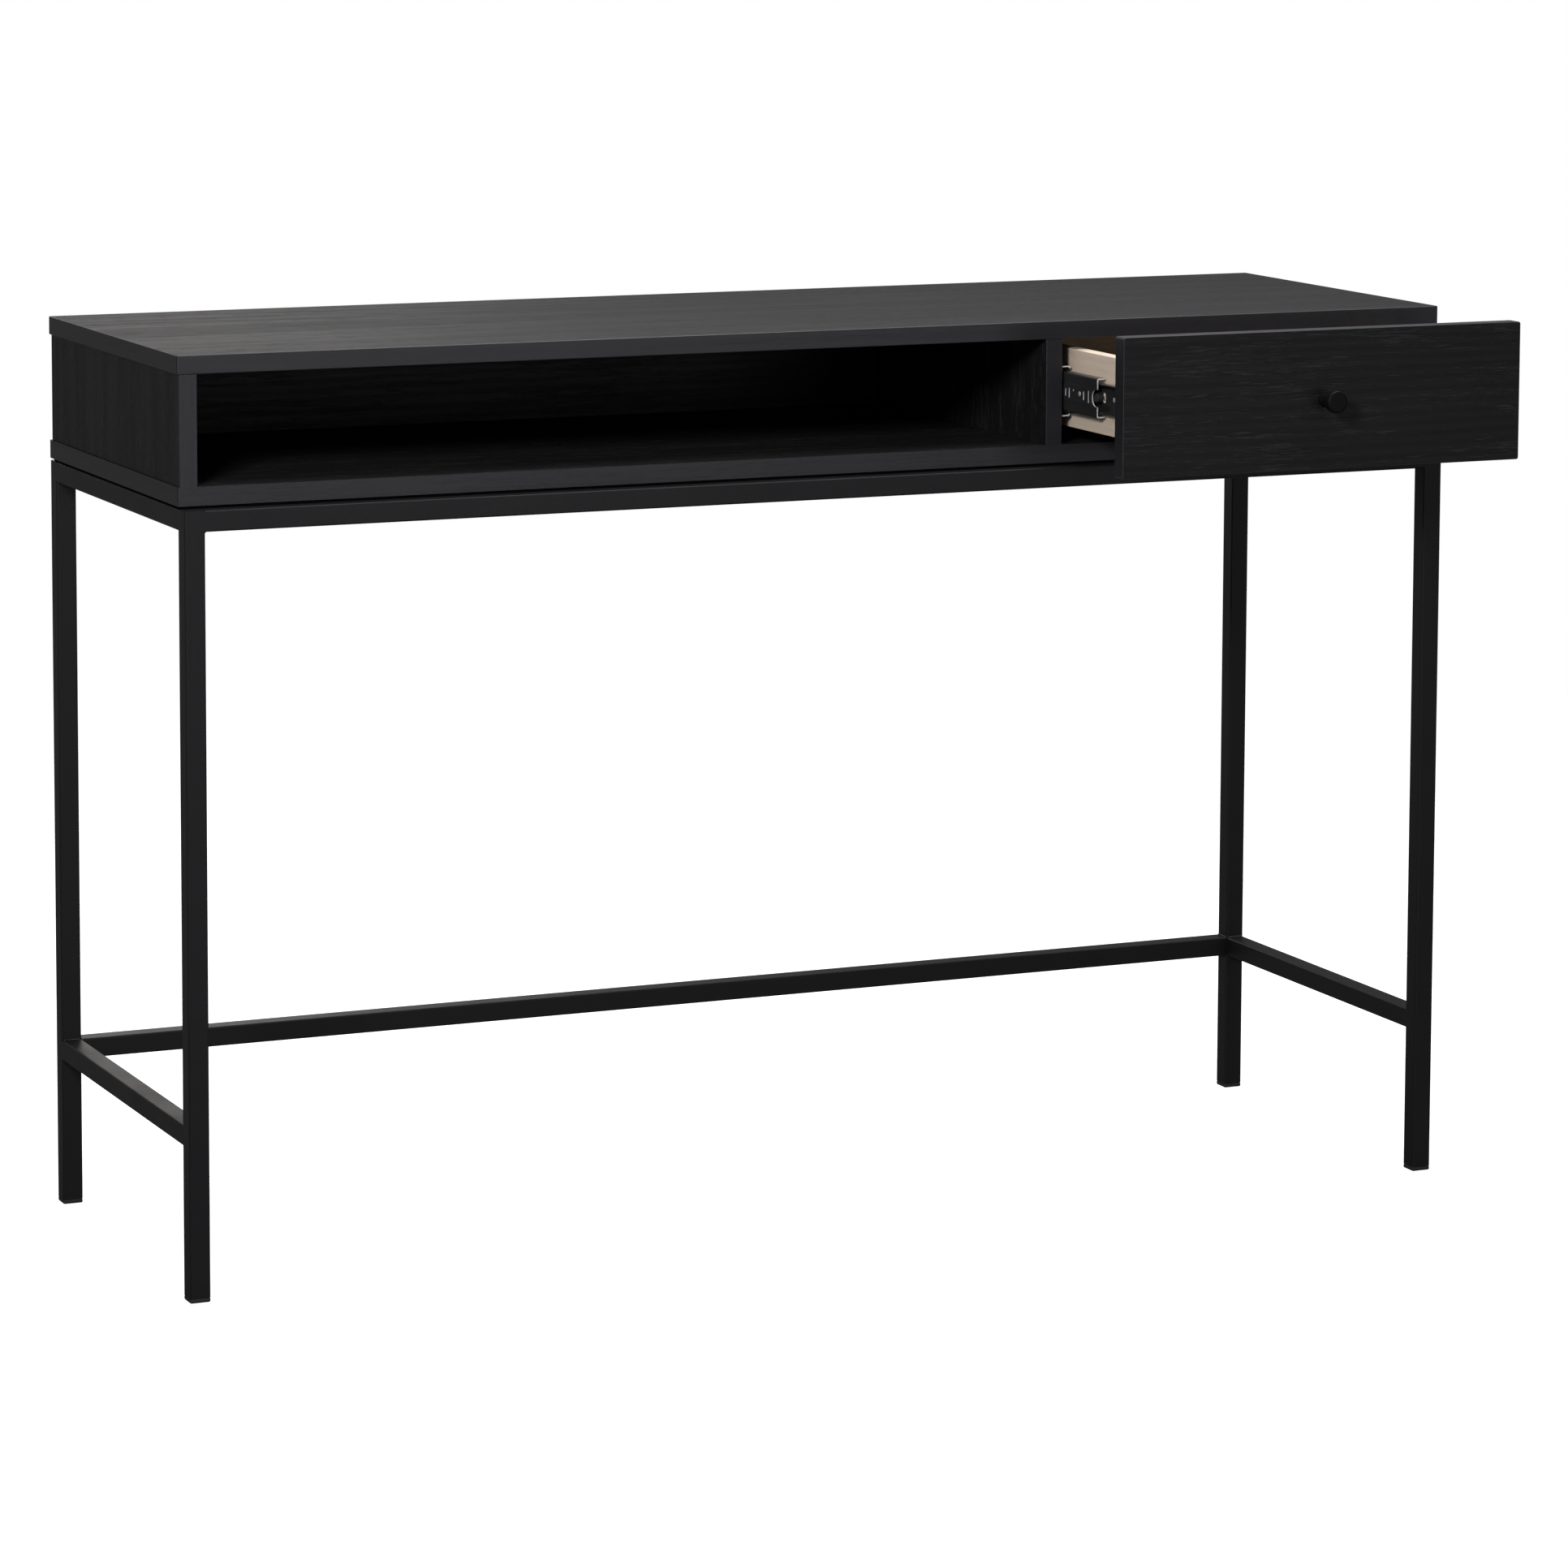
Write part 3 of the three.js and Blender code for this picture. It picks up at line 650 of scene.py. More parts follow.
def bare_metal(name, colour, rough, brushed, metallic):
    """Bright metal with fine drawn lines along the piece"""
    material, board, shader = new_material(name)
    here = board.place()
    lines = board.noise(board.stretch(here, brushed), 1.0, 3.0, 0.6)
    spots = board.noise(here, 420.0, 3.0, 0.6)
    stain = board.span(spots, 0.45, 0.75)
    shade = board.blend(lines, opaque(colour, 0.82), opaque(colour, 1.10))
    shade = board.blend(board.sum("MULTIPLY", stain, 0.35), shade, opaque(colour, 0.55))
    board.feed(shader["Base Color"], shade)
    shader["Metallic"].default_value = metallic
    board.feed(shader["Roughness"], board.span(lines, 0.2, 0.8, rough - 0.07, rough + 0.09))
    board.feed(shader["Normal"], relief(board, lines, 0.00003, 0.5))
    return material


class Finishes:
    """The materials, made once from the colours set in the scene"""

    made = {}

    @classmethod
    def get(cls, name):
        if not cls.made:
            cls.make(bpy.context.scene.desk_colours)
        return cls.made[name]

    @classmethod
    def make(cls, colours):
        dark, light = colours.veneer, colours.veneer_light
        cls.made = {
            "veneer_x": veneer("black_veneer_along_x", "X", dark, light),
            "veneer_z": veneer("black_veneer_upright", "Z", dark, light),
            "band_x": edge_band("edge_band_along_x", "X", colours.edging),
            # the short-end bands are the edging colour darkened: painted shade
            "band_y_painted_shade": edge_band("edge_band_along_y", "Y", opaque(colours.edging, END_BAND_PAINTED_SHADE)),
            "band_z": edge_band("edge_band_upright", "Z", colours.edging),
            "pale_y": pale_board("pale_board_along_y", "Y", colours.drawer_wood),
            "pale_x": pale_board("pale_board_along_x", "X", colours.drawer_wood),
            "coat": coated("black_powder_coat", colours.coat, 0.48, 0.22, 1500.0, 0.00006),
            "weld": coated("coated_weld", colours.coat, 0.42, 0.42, 900.0, 0.00005),
            "slide": coated(
                "black_slide_coat",
                colours.slide_black,
                0.36,
                0.5,
                2600.0,
                0.00002,
                wear_colour=opaque(colours.steel, 0.8),
                metal_wear=0.9,
            ),
            "rubber": coated("black_rubber", RUBBER_BLACK, 0.72, 0.35, 1300.0, 0.00004),
            # near-black strips paint the shade in the gap under the box
            "felt": coated("black_felt", FELT_PAINTED_SHADE, 0.95, 0.02, 1800.0, 0.00006),
            "knob": coated("satin_knob", colours.knob, 0.40, 0.07, 2600.0, 0.00002),
            "steel": bare_metal("zinc_plate", colours.steel, 0.30, DRAWN_ALONG_Y, 0.75),
            "cut_steel": bare_metal("cut_sheet_edge", colours.steel, 0.34, CUT_ACROSS, 0.45),
            "ball_steel": bare_metal("ball_steel", colours.steel, 0.14, BALL_GRAIN, 1.0),
        }


# ---------------------------------------------------------------- meshes


def merged_copy(node):
    """A CAD node as one closed mesh with whole flat faces"""
    mesh = bmesh.new()
    mesh.from_mesh(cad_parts[node].data)
    bmesh.ops.remove_doubles(mesh, verts=mesh.verts, dist=MERGE_DISTANCE)
    bmesh.ops.dissolve_limit(mesh, angle_limit=FLAT_ANGLE, verts=mesh.verts, edges=mesh.edges)
    mesh.normal_update()
    return mesh


def sharp_edges(mesh, shortest, along=None):
    """Edges of at least that length between faces that meet at a sharp angle"""
    chosen = []
    for edge in mesh.edges:
        if len(edge.link_faces) != 2 or edge.calc_length() < shortest:
            continue
        if edge.calc_face_angle() < MEETING_ANGLE:
            continue
        if along is not None:
            direction = (edge.verts[1].co - edge.verts[0].co).normalized()
            if abs(direction.dot(along)) < 0.99:
                continue
        chosen.append(edge)
    return chosen


def round_edges(mesh, edges, width, segments):
    """Rounds the edges and marks the faces made there for the wear in the finish"""
    made = bmesh.ops.bevel(
        mesh,
        geom=edges,
        offset=width,
        offset_type="OFFSET",
        segments=segments,
        profile=0.5,
        affect="EDGES",
        clamp_overlap=True,
    )
    mark_faces(mesh, made["faces"])


def mark_faces(mesh, faces):
    """Marks faces as edges that wear first"""
    layer = mesh.faces.layers.float.get(EDGE_MARK) or mesh.faces.layers.float.new(EDGE_MARK)
    for face in faces:
        if face.is_valid:
            face[layer] = 1.0


def new_object(name, mesh):
    """Object at the origin from a bmesh, which is freed"""
    data = bpy.data.meshes.new(name)
    mesh.to_mesh(data)
    mesh.free()
    piece = bpy.data.objects.new(name, data)
    bpy.context.scene.collection.objects.link(piece)
    return piece


def applied(piece):
    """Turns the piece's modifiers into a plain mesh and removes them"""
    bpy.context.view_layer.update()
    evaluated = piece.evaluated_get(bpy.context.evaluated_depsgraph_get())
    data = bpy.data.meshes.new_from_object(evaluated)
    old = piece.data
    piece.modifiers.clear()
    piece.data = data
    data.name = piece.name
    if old.users == 0:
        bpy.data.meshes.remove(old)
    return piece


def smooth(piece, angle=SHARP_ANGLE):
    """Smooth shading that keeps flat faces flat and sharp corners sharp"""
    piece.data.shade_smooth()
    piece.data.set_sharp_from_angle(angle=angle)
    weighted = piece.modifiers.new("flat_faces", "WEIGHTED_NORMAL")
    weighted.keep_sharp = True
    weighted.weight = 100
    return applied(piece)


def seat(piece, body, slot, *nodes):
    """Puts a finished piece on its CAD body in place of the nodes that it stands for"""
    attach(piece, body)
    if nodes:
        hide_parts(*nodes)
    return piece


def set_finishes(piece, *names):
    """Gives a piece its materials, in the order of its faces' material numbers"""
    for name in names:
        piece.data.materials.append(Finishes.get(name))


def revolved(profile, steps, centre, axis):
    """Closed turned shape: profile gives (radius, distance along the axis) from end to end"""
    mesh = bmesh.new()
    forward = Vector(axis).normalized()
    across = forward.orthogonal().normalized()
    up = forward.cross(across)
    rings = []
    for radius, along in profile:
        base = Vector(centre) + forward * along
        if radius <= 0:
            rings.append([mesh.verts.new(base)])
            continue
        ring = []
        for step in range(steps):
            angle = 2 * math.pi * step / steps
            ring.append(mesh.verts.new(base + (across * math.cos(angle) + up * math.sin(angle)) * radius))
        rings.append(ring)
    for first, second in zip(rings, rings[1:]):
        for step in range(steps):
            after = (step + 1) % steps
            if len(first) == 1:
                mesh.faces.new((first[0], second[step], second[after]))
            elif len(second) == 1:
                mesh.faces.new((first[step], second[0], first[after]))
            else:
                mesh.faces.new((first[step], second[step], second[after], first[after]))
    bmesh.ops.recalc_face_normals(mesh, faces=mesh.faces)
    return mesh


def ring_walls(mesh, first, second):
    """Faces between two rings that have the same number of points"""
    faces = []
    for place in range(len(first)):
        after = (place + 1) % len(first)
        faces.append(mesh.faces.new((first[place], first[after], second[after], second[place])))
    return faces


def rounded_profile(points, radius, steps=5):
    """Points of a profile with each inner corner replaced by an arc"""
    rounded = [points[0]]
    for before, corner, after in zip(points, points[1:], points[2:]):
        corner = Vector(corner)
        back = Vector(before) - corner
        ahead = Vector(after) - corner
        reach = min(radius, 0.45 * back.length, 0.45 * ahead.length)
        start = corner + back.normalized() * reach
        end = corner + ahead.normalized() * reach
        for step in range(steps + 1):
            t = step / steps
            rounded.append(tuple(start * (1 - t) ** 2 + corner * 2 * t * (1 - t) + end * t**2))
    rounded.append(points[-1])
    return rounded


# ---------------------------------------------------------------- box


CORNER_SEGMENTS = 5
EDGE_SEGMENTS = 3
# an edge this near a board's outline belongs to its rim, and a bore's rim lies further in
RIM_REACH = 2.5 * MM
BORE_INSET = 2.4 * MM
# board, the axis across its thickness, finishes, and whether its corners are rounded
BOX_PANELS = (
    ("top_panel", 2, ("veneer_x", "band_x", "band_y_painted_shade"), True),
    ("bottom_panel", 2, ("veneer_x", "band_x", "band_y_painted_shade"), True),
    ("side_panel_left", 0, ("veneer_z", "band_z"), False),
    ("side_panel_right", 0, ("veneer_z", "band_z"), False),
    ("divider_panel", 0, ("veneer_z", "band_z"), False),
    ("back_panel", 1, ("veneer_x", "band_x"), False),
)


def veneered_board(node, normal_axis, finishes, round_corners):
    """A board with banded, rounded edges; finishes: faces, long edges and, if given, short ends"""
    sizes = bpy.context.scene.desk_sizes
    mesh = merged_copy(node)
    low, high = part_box(node)
    axis = Vector([1.0 if side == normal_axis else 0.0 for side in range(3)])
    thickness = (high - low)[normal_axis]
    if round_corners:
        corners = sharp_edges(mesh, 0.9 * thickness, axis)
        round_edges(mesh, corners, sizes.corner_rounding, CORNER_SEGMENTS)
        marks = mesh.faces.layers.float.get(EDGE_MARK)
        for face in mesh.faces:
            face[marks] = 0.0
    rim = []
    for edge in sharp_edges(mesh, 0.2 * MM):
        broad = [f for f in edge.link_faces if abs(f.normal.dot(axis)) > 0.99]
        middle = (edge.verts[0].co + edge.verts[1].co) / 2
        at_side = any(
            min(abs(middle[side] - low[side]), abs(middle[side] - high[side])) < RIM_REACH
            for side in range(3)
            if side != normal_axis
        )
        if len(broad) == 1 and at_side and not inside_hole(edge, low, high, normal_axis):
            rim.append(edge)
    round_edges(mesh, rim, sizes.edge_rounding, EDGE_SEGMENTS)
    mesh.normal_update()
    for face in mesh.faces:
        at_end = len(finishes) > 2 and abs(face.normal.x) > 0.8
        edge_finish = 2 if at_end else 1
        face.material_index = 0 if abs(face.normal.dot(axis)) > 0.99 else edge_finish
    piece = new_object(node + "_board", mesh)
    set_finishes(piece, *finishes)
    return smooth(piece)


def inside_hole(edge, low, high, normal_axis):
    """True for the rim of a bore that comes near the board's outline"""
    for vert in edge.verts:
        gap = min(
            min(vert.co[side] - low[side], high[side] - vert.co[side])
            for side in range(3)
            if side != normal_axis
        )
        if gap > BORE_INSET:
            return True
    return False


class DESK_OT_box_panels(bpy.types.Operator):
    """Makes the six veneered boards of the box"""

    bl_idname = "desk.box_panels"
    bl_label = "Box panels"

    def execute(self, context):
        for node, axis, finishes, round_corners in BOX_PANELS:
            board = veneered_board(node, axis, finishes, round_corners)
            seat(board, "desk", "black_veneer", node)
        return {"FINISHED"}


# ---------------------------------------------------------------- frame


FRAME_TUBES = (
    "leg_front_left",
    "leg_front_right",
    "leg_rear_left",
    "leg_rear_right",
    "rail_front",
    "rail_rear",
    "rail_left",
    "rail_right",
    "stretcher_rear",
    "stretcher_left",
    "stretcher_right",
)
ALONG_X = ("rail_front", "rail_rear", "stretcher_rear")
ALONG_Y = ("rail_left", "rail_right", "stretcher_left", "stretcher_right")
SMALL_FACE = 20 * MM * MM
WELD_INSET = 2.2 * MM
CORNER_STEPS = 5


def refined_copy(node, name, finish, body, slot):
    """A CAD node's own shape, closed and smoothly shaded, in a finish"""
    mesh = merged_copy(node)
    piece = new_object(name, mesh)
    set_finishes(piece, finish)
    return seat(smooth(piece), body, slot, node)


def marked_tube(node):
    """A tube whose rounded corners are marked for wear"""
    mesh = merged_copy(node)
    curved = [
        face
        for face in mesh.faces
        if max(abs(part) for part in face.normal) < 0.995 and face.calc_area() > SMALL_FACE
    ]
    mark_faces(mesh, curved)
    piece = new_object(node + "_tube", mesh)
    set_finishes(piece, "coat")
    return smooth(piece, ROUND_TUBE_ANGLE)


class DESK_OT_frame_tubes(bpy.types.Operator):
    """Makes the legs, rails and stretchers from square tube"""

    bl_idname = "desk.frame_tubes"
    bl_label = "Frame tubes"

    def execute(self, context):
        for node in FRAME_TUBES:
            seat(marked_tube(node), "desk", "black_powder_coat", node)
        return {"FINISHED"}


def geometry_tree(name, inputs):
    """Geometry node tree with the given inputs after its geometry, and one geometry output"""
    tree = bpy.data.node_groups.new(name, "GeometryNodeTree")
    tree.interface.new_socket("Geometry", in_out="INPUT", socket_type="NodeSocketGeometry")
    for label, kind in inputs:
        tree.interface.new_socket(label, in_out="INPUT", socket_type=kind)
    tree.interface.new_socket("Geometry", in_out="OUTPUT", socket_type="NodeSocketGeometry")
    board = NodeBoard(tree)
    entry = board.add("NodeGroupInput")
    leave = board.add("NodeGroupOutput")
    leave.location = (1900, 0)
    return tree, board, entry.outputs, leave.inputs


def finish_tree(board, instances, material, leave):
    """Ends a tree: instances made real, shaded smooth and given their material"""
    real = board.add("GeometryNodeRealizeInstances")
    board.feed(real.inputs[0], instances)
    shaded = board.add("GeometryNodeSetShadeSmooth")
    board.feed(shaded.inputs["Geometry"], real.outputs[0])
    painted = board.add("GeometryNodeSetMaterial")
    board.feed(painted.inputs["Geometry"], shaded.outputs[0])
    board.feed(painted.inputs["Material"], material)
    board.feed(leave[0], painted.outputs[0])


def grown(name, points, edges, tree, values):
    """Plain mesh that a geometry node tree makes from points and edges"""
    data = bpy.data.meshes.new(name)
    data.from_pydata([tuple(point) for point in points], edges, [])
    piece = bpy.data.objects.new(name, data)
    modifier = piece.modifiers.new("shape", "NODES")
    modifier.node_group = tree
    for item in tree.interface.items_tree:
        if item.in_out == "INPUT" and item.name in values:
            modifier[item.identifier] = values[item.name]
    bpy.context.scene.collection.objects.link(piece)
    return applied(piece)


def weld_tree():
    """Overlapping drops along each edge of the input mesh"""
    tree, board, given, leave = geometry_tree(
        "weld_beads",
        [
            ("Half Width", FLOAT),
            ("Pitch", FLOAT),
            ("Material", "NodeSocketMaterial"),
        ],
    )
    curve = board.add("GeometryNodeMeshToCurve")
    board.feed(curve.inputs[0], given["Geometry"])
    even = board.add("GeometryNodeResampleCurve", mode="LENGTH")
    board.feed(even.inputs["Curve"], curve.outputs[0])
    board.feed(even.inputs["Length"], given["Pitch"])
    drop = board.add("GeometryNodeMeshUVSphere")
    drop.inputs["Segments"].default_value = 10
    drop.inputs["Rings"].default_value = 6
    board.feed(drop.inputs["Radius"], given["Half Width"])
    chance = board.add("FunctionNodeRandomValue", data_type="FLOAT")
    chance.inputs[2].default_value = 0.82
    chance.inputs[3].default_value = 1.12
    chance.inputs["Seed"].default_value = 7
    drops = board.add("GeometryNodeInstanceOnPoints")
    board.feed(drops.inputs["Points"], even.outputs[0])
    board.feed(drops.inputs["Instance"], drop.outputs[0])
    board.feed(drops.inputs["Scale"], chance.outputs[1])
    finish_tree(board, drops.outputs[0], given["Material"], leave)
    return tree


def weld_lines():
    """Where the tubes meet: under each rail's end and above and below each stretcher's end"""
    points, edges = [], []

    def line(first, second):
        points.extend((first, second))
        edges.append((len(points) - 2, len(points) - 1))

    for name in ALONG_X:
        low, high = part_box(name)
        heights = (low.z,) if name.startswith("rail") else (low.z, high.z)
        for x in (low.x, high.x):
            for z in heights:
                line((x, low.y + WELD_INSET, z), (x, high.y - WELD_INSET, z))
    for name in ALONG_Y:
        low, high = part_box(name)
        heights = (low.z,) if name.startswith("rail") else (low.z, high.z)
        for y in (low.y, high.y):
            for z in heights:
                line((low.x + WELD_INSET, y, z), (high.x - WELD_INSET, y, z))
    return points, edges


def corner_fill(mesh, corner, along, inward, heights, radius):
    """Adds an upright prism that fills the groove beside a leg's rounded corner, flush with it"""
    centre = corner - along * radius + inward * radius
    outline = [corner]
    for step in range(CORNER_STEPS + 1):
        angle = math.radians(90) * step / CORNER_STEPS
        outline.append(
            centre + along * (radius * math.sin(angle)) - inward * (radius * math.cos(angle))
        )
    rings = [
        [mesh.verts.new((point.x, point.y, height)) for point in outline] for height in heights
    ]
    faces = [mesh.faces.new(rings[0]), mesh.faces.new(rings[1])]
    faces += ring_walls(mesh, *rings)
    bmesh.ops.recalc_face_normals(mesh, faces=faces)


def ground_seams(radius):
    """Welds ground flush on the upright faces where rails and stretchers meet the legs"""
    mesh = bmesh.new()
    margin = 0.5 * radius
    for name in ALONG_X:
        low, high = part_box(name)
        heights = (low.z + margin, high.z - margin)
        for x, along in ((low.x, Vector((1, 0, 0))), (high.x, Vector((-1, 0, 0)))):
            for y, inward in ((low.y, Vector((0, 1, 0))), (high.y, Vector((0, -1, 0)))):
                corner_fill(mesh, Vector((x, y, 0)), along, inward, heights, radius)
    for name in ALONG_Y:
        low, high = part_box(name)
        heights = (low.z + margin, high.z - margin)
        for y, along in ((low.y, Vector((0, 1, 0))), (high.y, Vector((0, -1, 0)))):
            for x, inward in ((low.x, Vector((1, 0, 0))), (high.x, Vector((-1, 0, 0)))):
                corner_fill(mesh, Vector((x, y, 0)), along, inward, heights, radius)
    return new_object("weld_seams", mesh)


class DESK_OT_weld_beads(bpy.types.Operator):
    """Lays small weld beads in the frame's inner corners and fills its outer seams flush"""

    bl_idname = "desk.weld_beads"
    bl_label = "Weld beads"

    def execute(self, context):
        sizes = context.scene.desk_sizes
        points, edges = weld_lines()
        values = {
            "Half Width": sizes.weld,
            "Pitch": sizes.weld_pitch,
            "Material": Finishes.get("weld"),
        }
        beads = grown("weld_beads", points, edges, weld_tree(), values)
        seat(beads, "desk", "black_powder_coat")
        seams = ground_seams(sizes.tube_corner)
        set_finishes(seams, "coat")
        seat(smooth(seams), "desk", "black_powder_coat")
        return {"FINISHED"}


class DESK_OT_glides_and_bolts(bpy.types.Operator):
    """Makes the foot glides, the spacer strips under the box and the bolts through them"""

    bl_idname = "desk.glides_and_bolts"
    bl_label = "Foot glides, spacer strips and bolts"

    def execute(self, context):
        groups = (
            ("foot_glide_", CORNERS, "rubber", "black_plastic"),
            ("spacer_strip_", STRIP_PLACES, "felt", "black_plastic"),
            ("frame_bolt_", BOLT_PLACES, "steel", "bright_steel"),
        )
        for start, places, finish, slot in groups:
            for place in places:
                node = start + place
                refined_copy(node, node + "_piece", finish, "desk", slot)
        return {"FINISHED"}


# ---------------------------------------------------------------- drawer


KNOB_EASING = 2.2 * MM
KNOB_STEPS = 72


class DESK_OT_drawer_front(bpy.types.Operator):
    """Makes the veneered drawer front"""

    bl_idname = "desk.drawer_front"
    bl_label = "Drawer front"

    def execute(self, context):
        board = veneered_board("drawer_front", 1, ("veneer_x", "band_x"), True)
        seat(board, "drawer", "black_veneer", "drawer_front")
        return {"FINISHED"}


class DESK_OT_drawer_box(bpy.types.Operator):
    """Makes the pale sides, back and bottom of the drawer"""

    bl_idname = "desk.drawer_box"
    bl_label = "Drawer box"

    def execute(self, context):
        sizes = context.scene.desk_sizes
        boards = (
            ("drawer_side_left", "pale_y"),
            ("drawer_side_right", "pale_y"),
            ("drawer_back", "pale_x"),
            ("drawer_bottom", "pale_x"),
        )
        for node, finish in boards:
            mesh = merged_copy(node)
            low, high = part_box(node)
            rims = [
                edge
                for edge in sharp_edges(mesh, 50 * MM)
                if all(on_outline(vert.co, low, high) for vert in edge.verts)
            ]
            round_edges(mesh, rims, sizes.drawer_edge_rounding, EDGE_SEGMENTS)
            piece = new_object(node + "_board", mesh)
            set_finishes(piece, finish)
            seat(smooth(piece), "drawer", "pale_drawer_wood", node)
        return {"FINISHED"}


def on_outline(point, low, high):
    """True where a point lies on two or more faces of its board's box"""
    touching = sum(
        min(abs(point[side] - low[side]), abs(point[side] - high[side])) < 0.01 * MM
        for side in range(3)
    )
    return touching >= 2


class DESK_OT_knob(bpy.types.Operator):
    """Turns the drawer's knob and sets its screw"""

    bl_idname = "desk.knob"
    bl_label = "Knob"

    def execute(self, context):
        low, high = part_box("knob")
        radius = (high.x - low.x) / 2
        length = high.y - low.y
        centre = Vector(((low.x + high.x) / 2, high.y, (low.z + high.z) / 2))
        profile = [
            (0.0, 0.0),
            (0.65 * radius, 0.0),
            (0.64 * radius, 0.05 * length),
            (0.52 * radius, 0.20 * length),
            (0.51 * radius, 0.42 * length),
            (0.80 * radius, 0.64 * length),
            (0.98 * radius, 0.72 * length),
            (radius, 0.79 * length),
            (radius, 0.93 * length),
            (0.93 * radius, 0.985 * length),
            (0.78 * radius, length),
            (0.0, length),
        ]
        outline = rounded_profile(profile, KNOB_EASING, 6)
        mesh = revolved(outline, KNOB_STEPS, centre, (0, -1, 0))
        knob = new_object("knob_turned", mesh)
        set_finishes(knob, "knob")
        seat(smooth(knob), "drawer", "knob_black", "knob")
        refined_copy("knob_screw", "knob_screw_piece", "steel", "drawer", "bright_steel")
        return {"FINISHED"}


# ---------------------------------------------------------------- slides


SCREW_HOLE = 7.4 * MM
STOP_EASING = 0.6 * MM
STOP_STEPS = 40
SLOT_STEPS = 32
# the cabinet member's lips end this far inside its flanges
LIP_RETURN = 1.1 * MM
# slots of a web: place as a share of the member's length, then length and height in millimetres
CABINET_SLOTS = (
    (0.055, 9, 5),
    (0.26, 5, 11),
    (0.42, 12, 4.5),
    (0.57, 5, 5),
    (0.68, 12, 4.5),
    (0.93, 9, 5),
)
DRAWER_SLOTS = (
    (0.19, 5, 9),
    (0.34, 12, 4.5),
    (0.52, 5, 5),
    (0.66, 12, 4.5),
    (0.92, 9, 4.5),
)
# slots of the middle web: distance from its front end, length and height in millimetres
MIDDLE_SLOTS = (
    (15.5, 1.6, 11),
    (25, 2.0, 8),
    (53, 1.8, 9),
    (60, 1.4, 7),
    (98, 12, 4.5),
    (128, 5, 5),
    (156, 2, 10),
    (176, 5, 5),
    (226, 12, 4.5),
    (262, 2, 10),
    (290, 5, 5),
)
# pressed pads of the middle web, from and to, measured from its front end
MIDDLE_PADS = ((12 * MM, 66 * MM), (84 * MM, 190 * MM))
LAST_PAD_START = 208 * MM
LAST_PAD_END_GAP = 24 * MM
PAD_HALF_HEIGHT = 8.6 * MM
PAD_RISE = 0.5 * MM
PAD_SLOPE = 1.4 * MM
# notch in the middle web's front end, in which the stop sits
STOP_NOTCH_LENGTH = 20 * MM
STOP_NOTCH_HEIGHT = 15.6 * MM


def bent_outline(line, thickness, bend):
    """Closed outline of a sheet of that thickness, bent along the line of (across, up)"""
    centre = rounded_profile(line, bend)
    clean = [Vector(centre[0])]
    for point in centre[1:]:
        if (Vector(point) - clean[-1]).length > 0.02 * MM:
            clean.append(Vector(point))
    left, right = [], []
    for place, point in enumerate(clean):
        before = clean[max(place - 1, 0)]
        after = clean[min(place + 1, len(clean) - 1)]
        along = (after - before).normalized()
        normal = Vector((-along.y, along.x))
        left.append(point + normal * thickness / 2)
        right.append(point - normal * thickness / 2)
    return left + right[::-1]


def swept(outline, side, wall, centre_z, start, end):
    """Solid with that outline from y = start to y = end; side is 1 or -1 away from the wall"""
    mesh = bmesh.new()
    rings = []
    for y in (start, end):
        rings.append(
            [mesh.verts.new((wall + side * point.x, y, centre_z + point.y)) for point in outline]
        )
    ring_walls(mesh, *rings)
    mesh.faces.new(rings[0])
    mesh.faces.new(rings[1])
    bmesh.ops.recalc_face_normals(mesh, faces=mesh.faces)
    return mesh


def slot_cutter(mesh, wall, side, depth, y, z, length, height):
    """Adds an oblong prism along X, for a slot through a slide member's web"""
    radius = min(length, height) / 2
    outline = []
    for step in range(SLOT_STEPS):
        angle = 2 * math.pi * (step + 0.5) / SLOT_STEPS
        reach_y = length / 2 - radius
        reach_z = height / 2 - radius
        outline.append(
            (
                y + math.copysign(reach_y, math.cos(angle)) + radius * math.cos(angle),
                z + math.copysign(reach_z, math.sin(angle)) + radius * math.sin(angle),
            )
        )
    rings = []
    for x in (wall + side * depth[0], wall + side * depth[1]):
        rings.append([mesh.verts.new((x, point[0], point[1])) for point in outline])
    faces = ring_walls(mesh, *rings)
    faces.append(mesh.faces.new(rings[0]))
    faces.append(mesh.faces.new(rings[1]))
    bmesh.ops.recalc_face_normals(mesh, faces=faces)


def pressed_pad(mesh, wall, side, face, y0, y1, z):
    """Adds a low raised pad with sloping sides to a web whose outer face is at that depth"""
    rings = []
    sunk = face + 0.6 * MM
    foot = face - 0.02 * MM
    for depth, inset in ((sunk, 0.0), (foot, 0.0), (face - PAD_RISE, PAD_SLOPE)):
        ring = []
        reach = PAD_HALF_HEIGHT - inset
        corners = (
            (y0 + inset, z - reach),
            (y1 - inset, z - reach),
            (y1 - inset, z + reach),
            (y0 + inset, z + reach),
        )
        for y, height in corners:
            ring.append(mesh.verts.new((wall + side * depth, y, height)))
        rings.append(ring)
    faces = [mesh.faces.new(rings[0]), mesh.faces.new(rings[-1])]
    for first, second in zip(rings, rings[1:]):
        faces += ring_walls(mesh, first, second)
    bmesh.ops.recalc_face_normals(mesh, faces=faces)


def cut_with(piece, cutter, operation="DIFFERENCE"):
    """Cuts or joins another object into the piece and removes it"""
    boolean = piece.modifiers.new("cut", "BOOLEAN")
    boolean.operation = operation
    boolean.solver = "EXACT"
    boolean.material_mode = "TRANSFER"
    boolean.object = cutter
    applied(piece)
    data = cutter.data
    bpy.data.objects.remove(cutter)
    bpy.data.meshes.remove(data)
    return piece


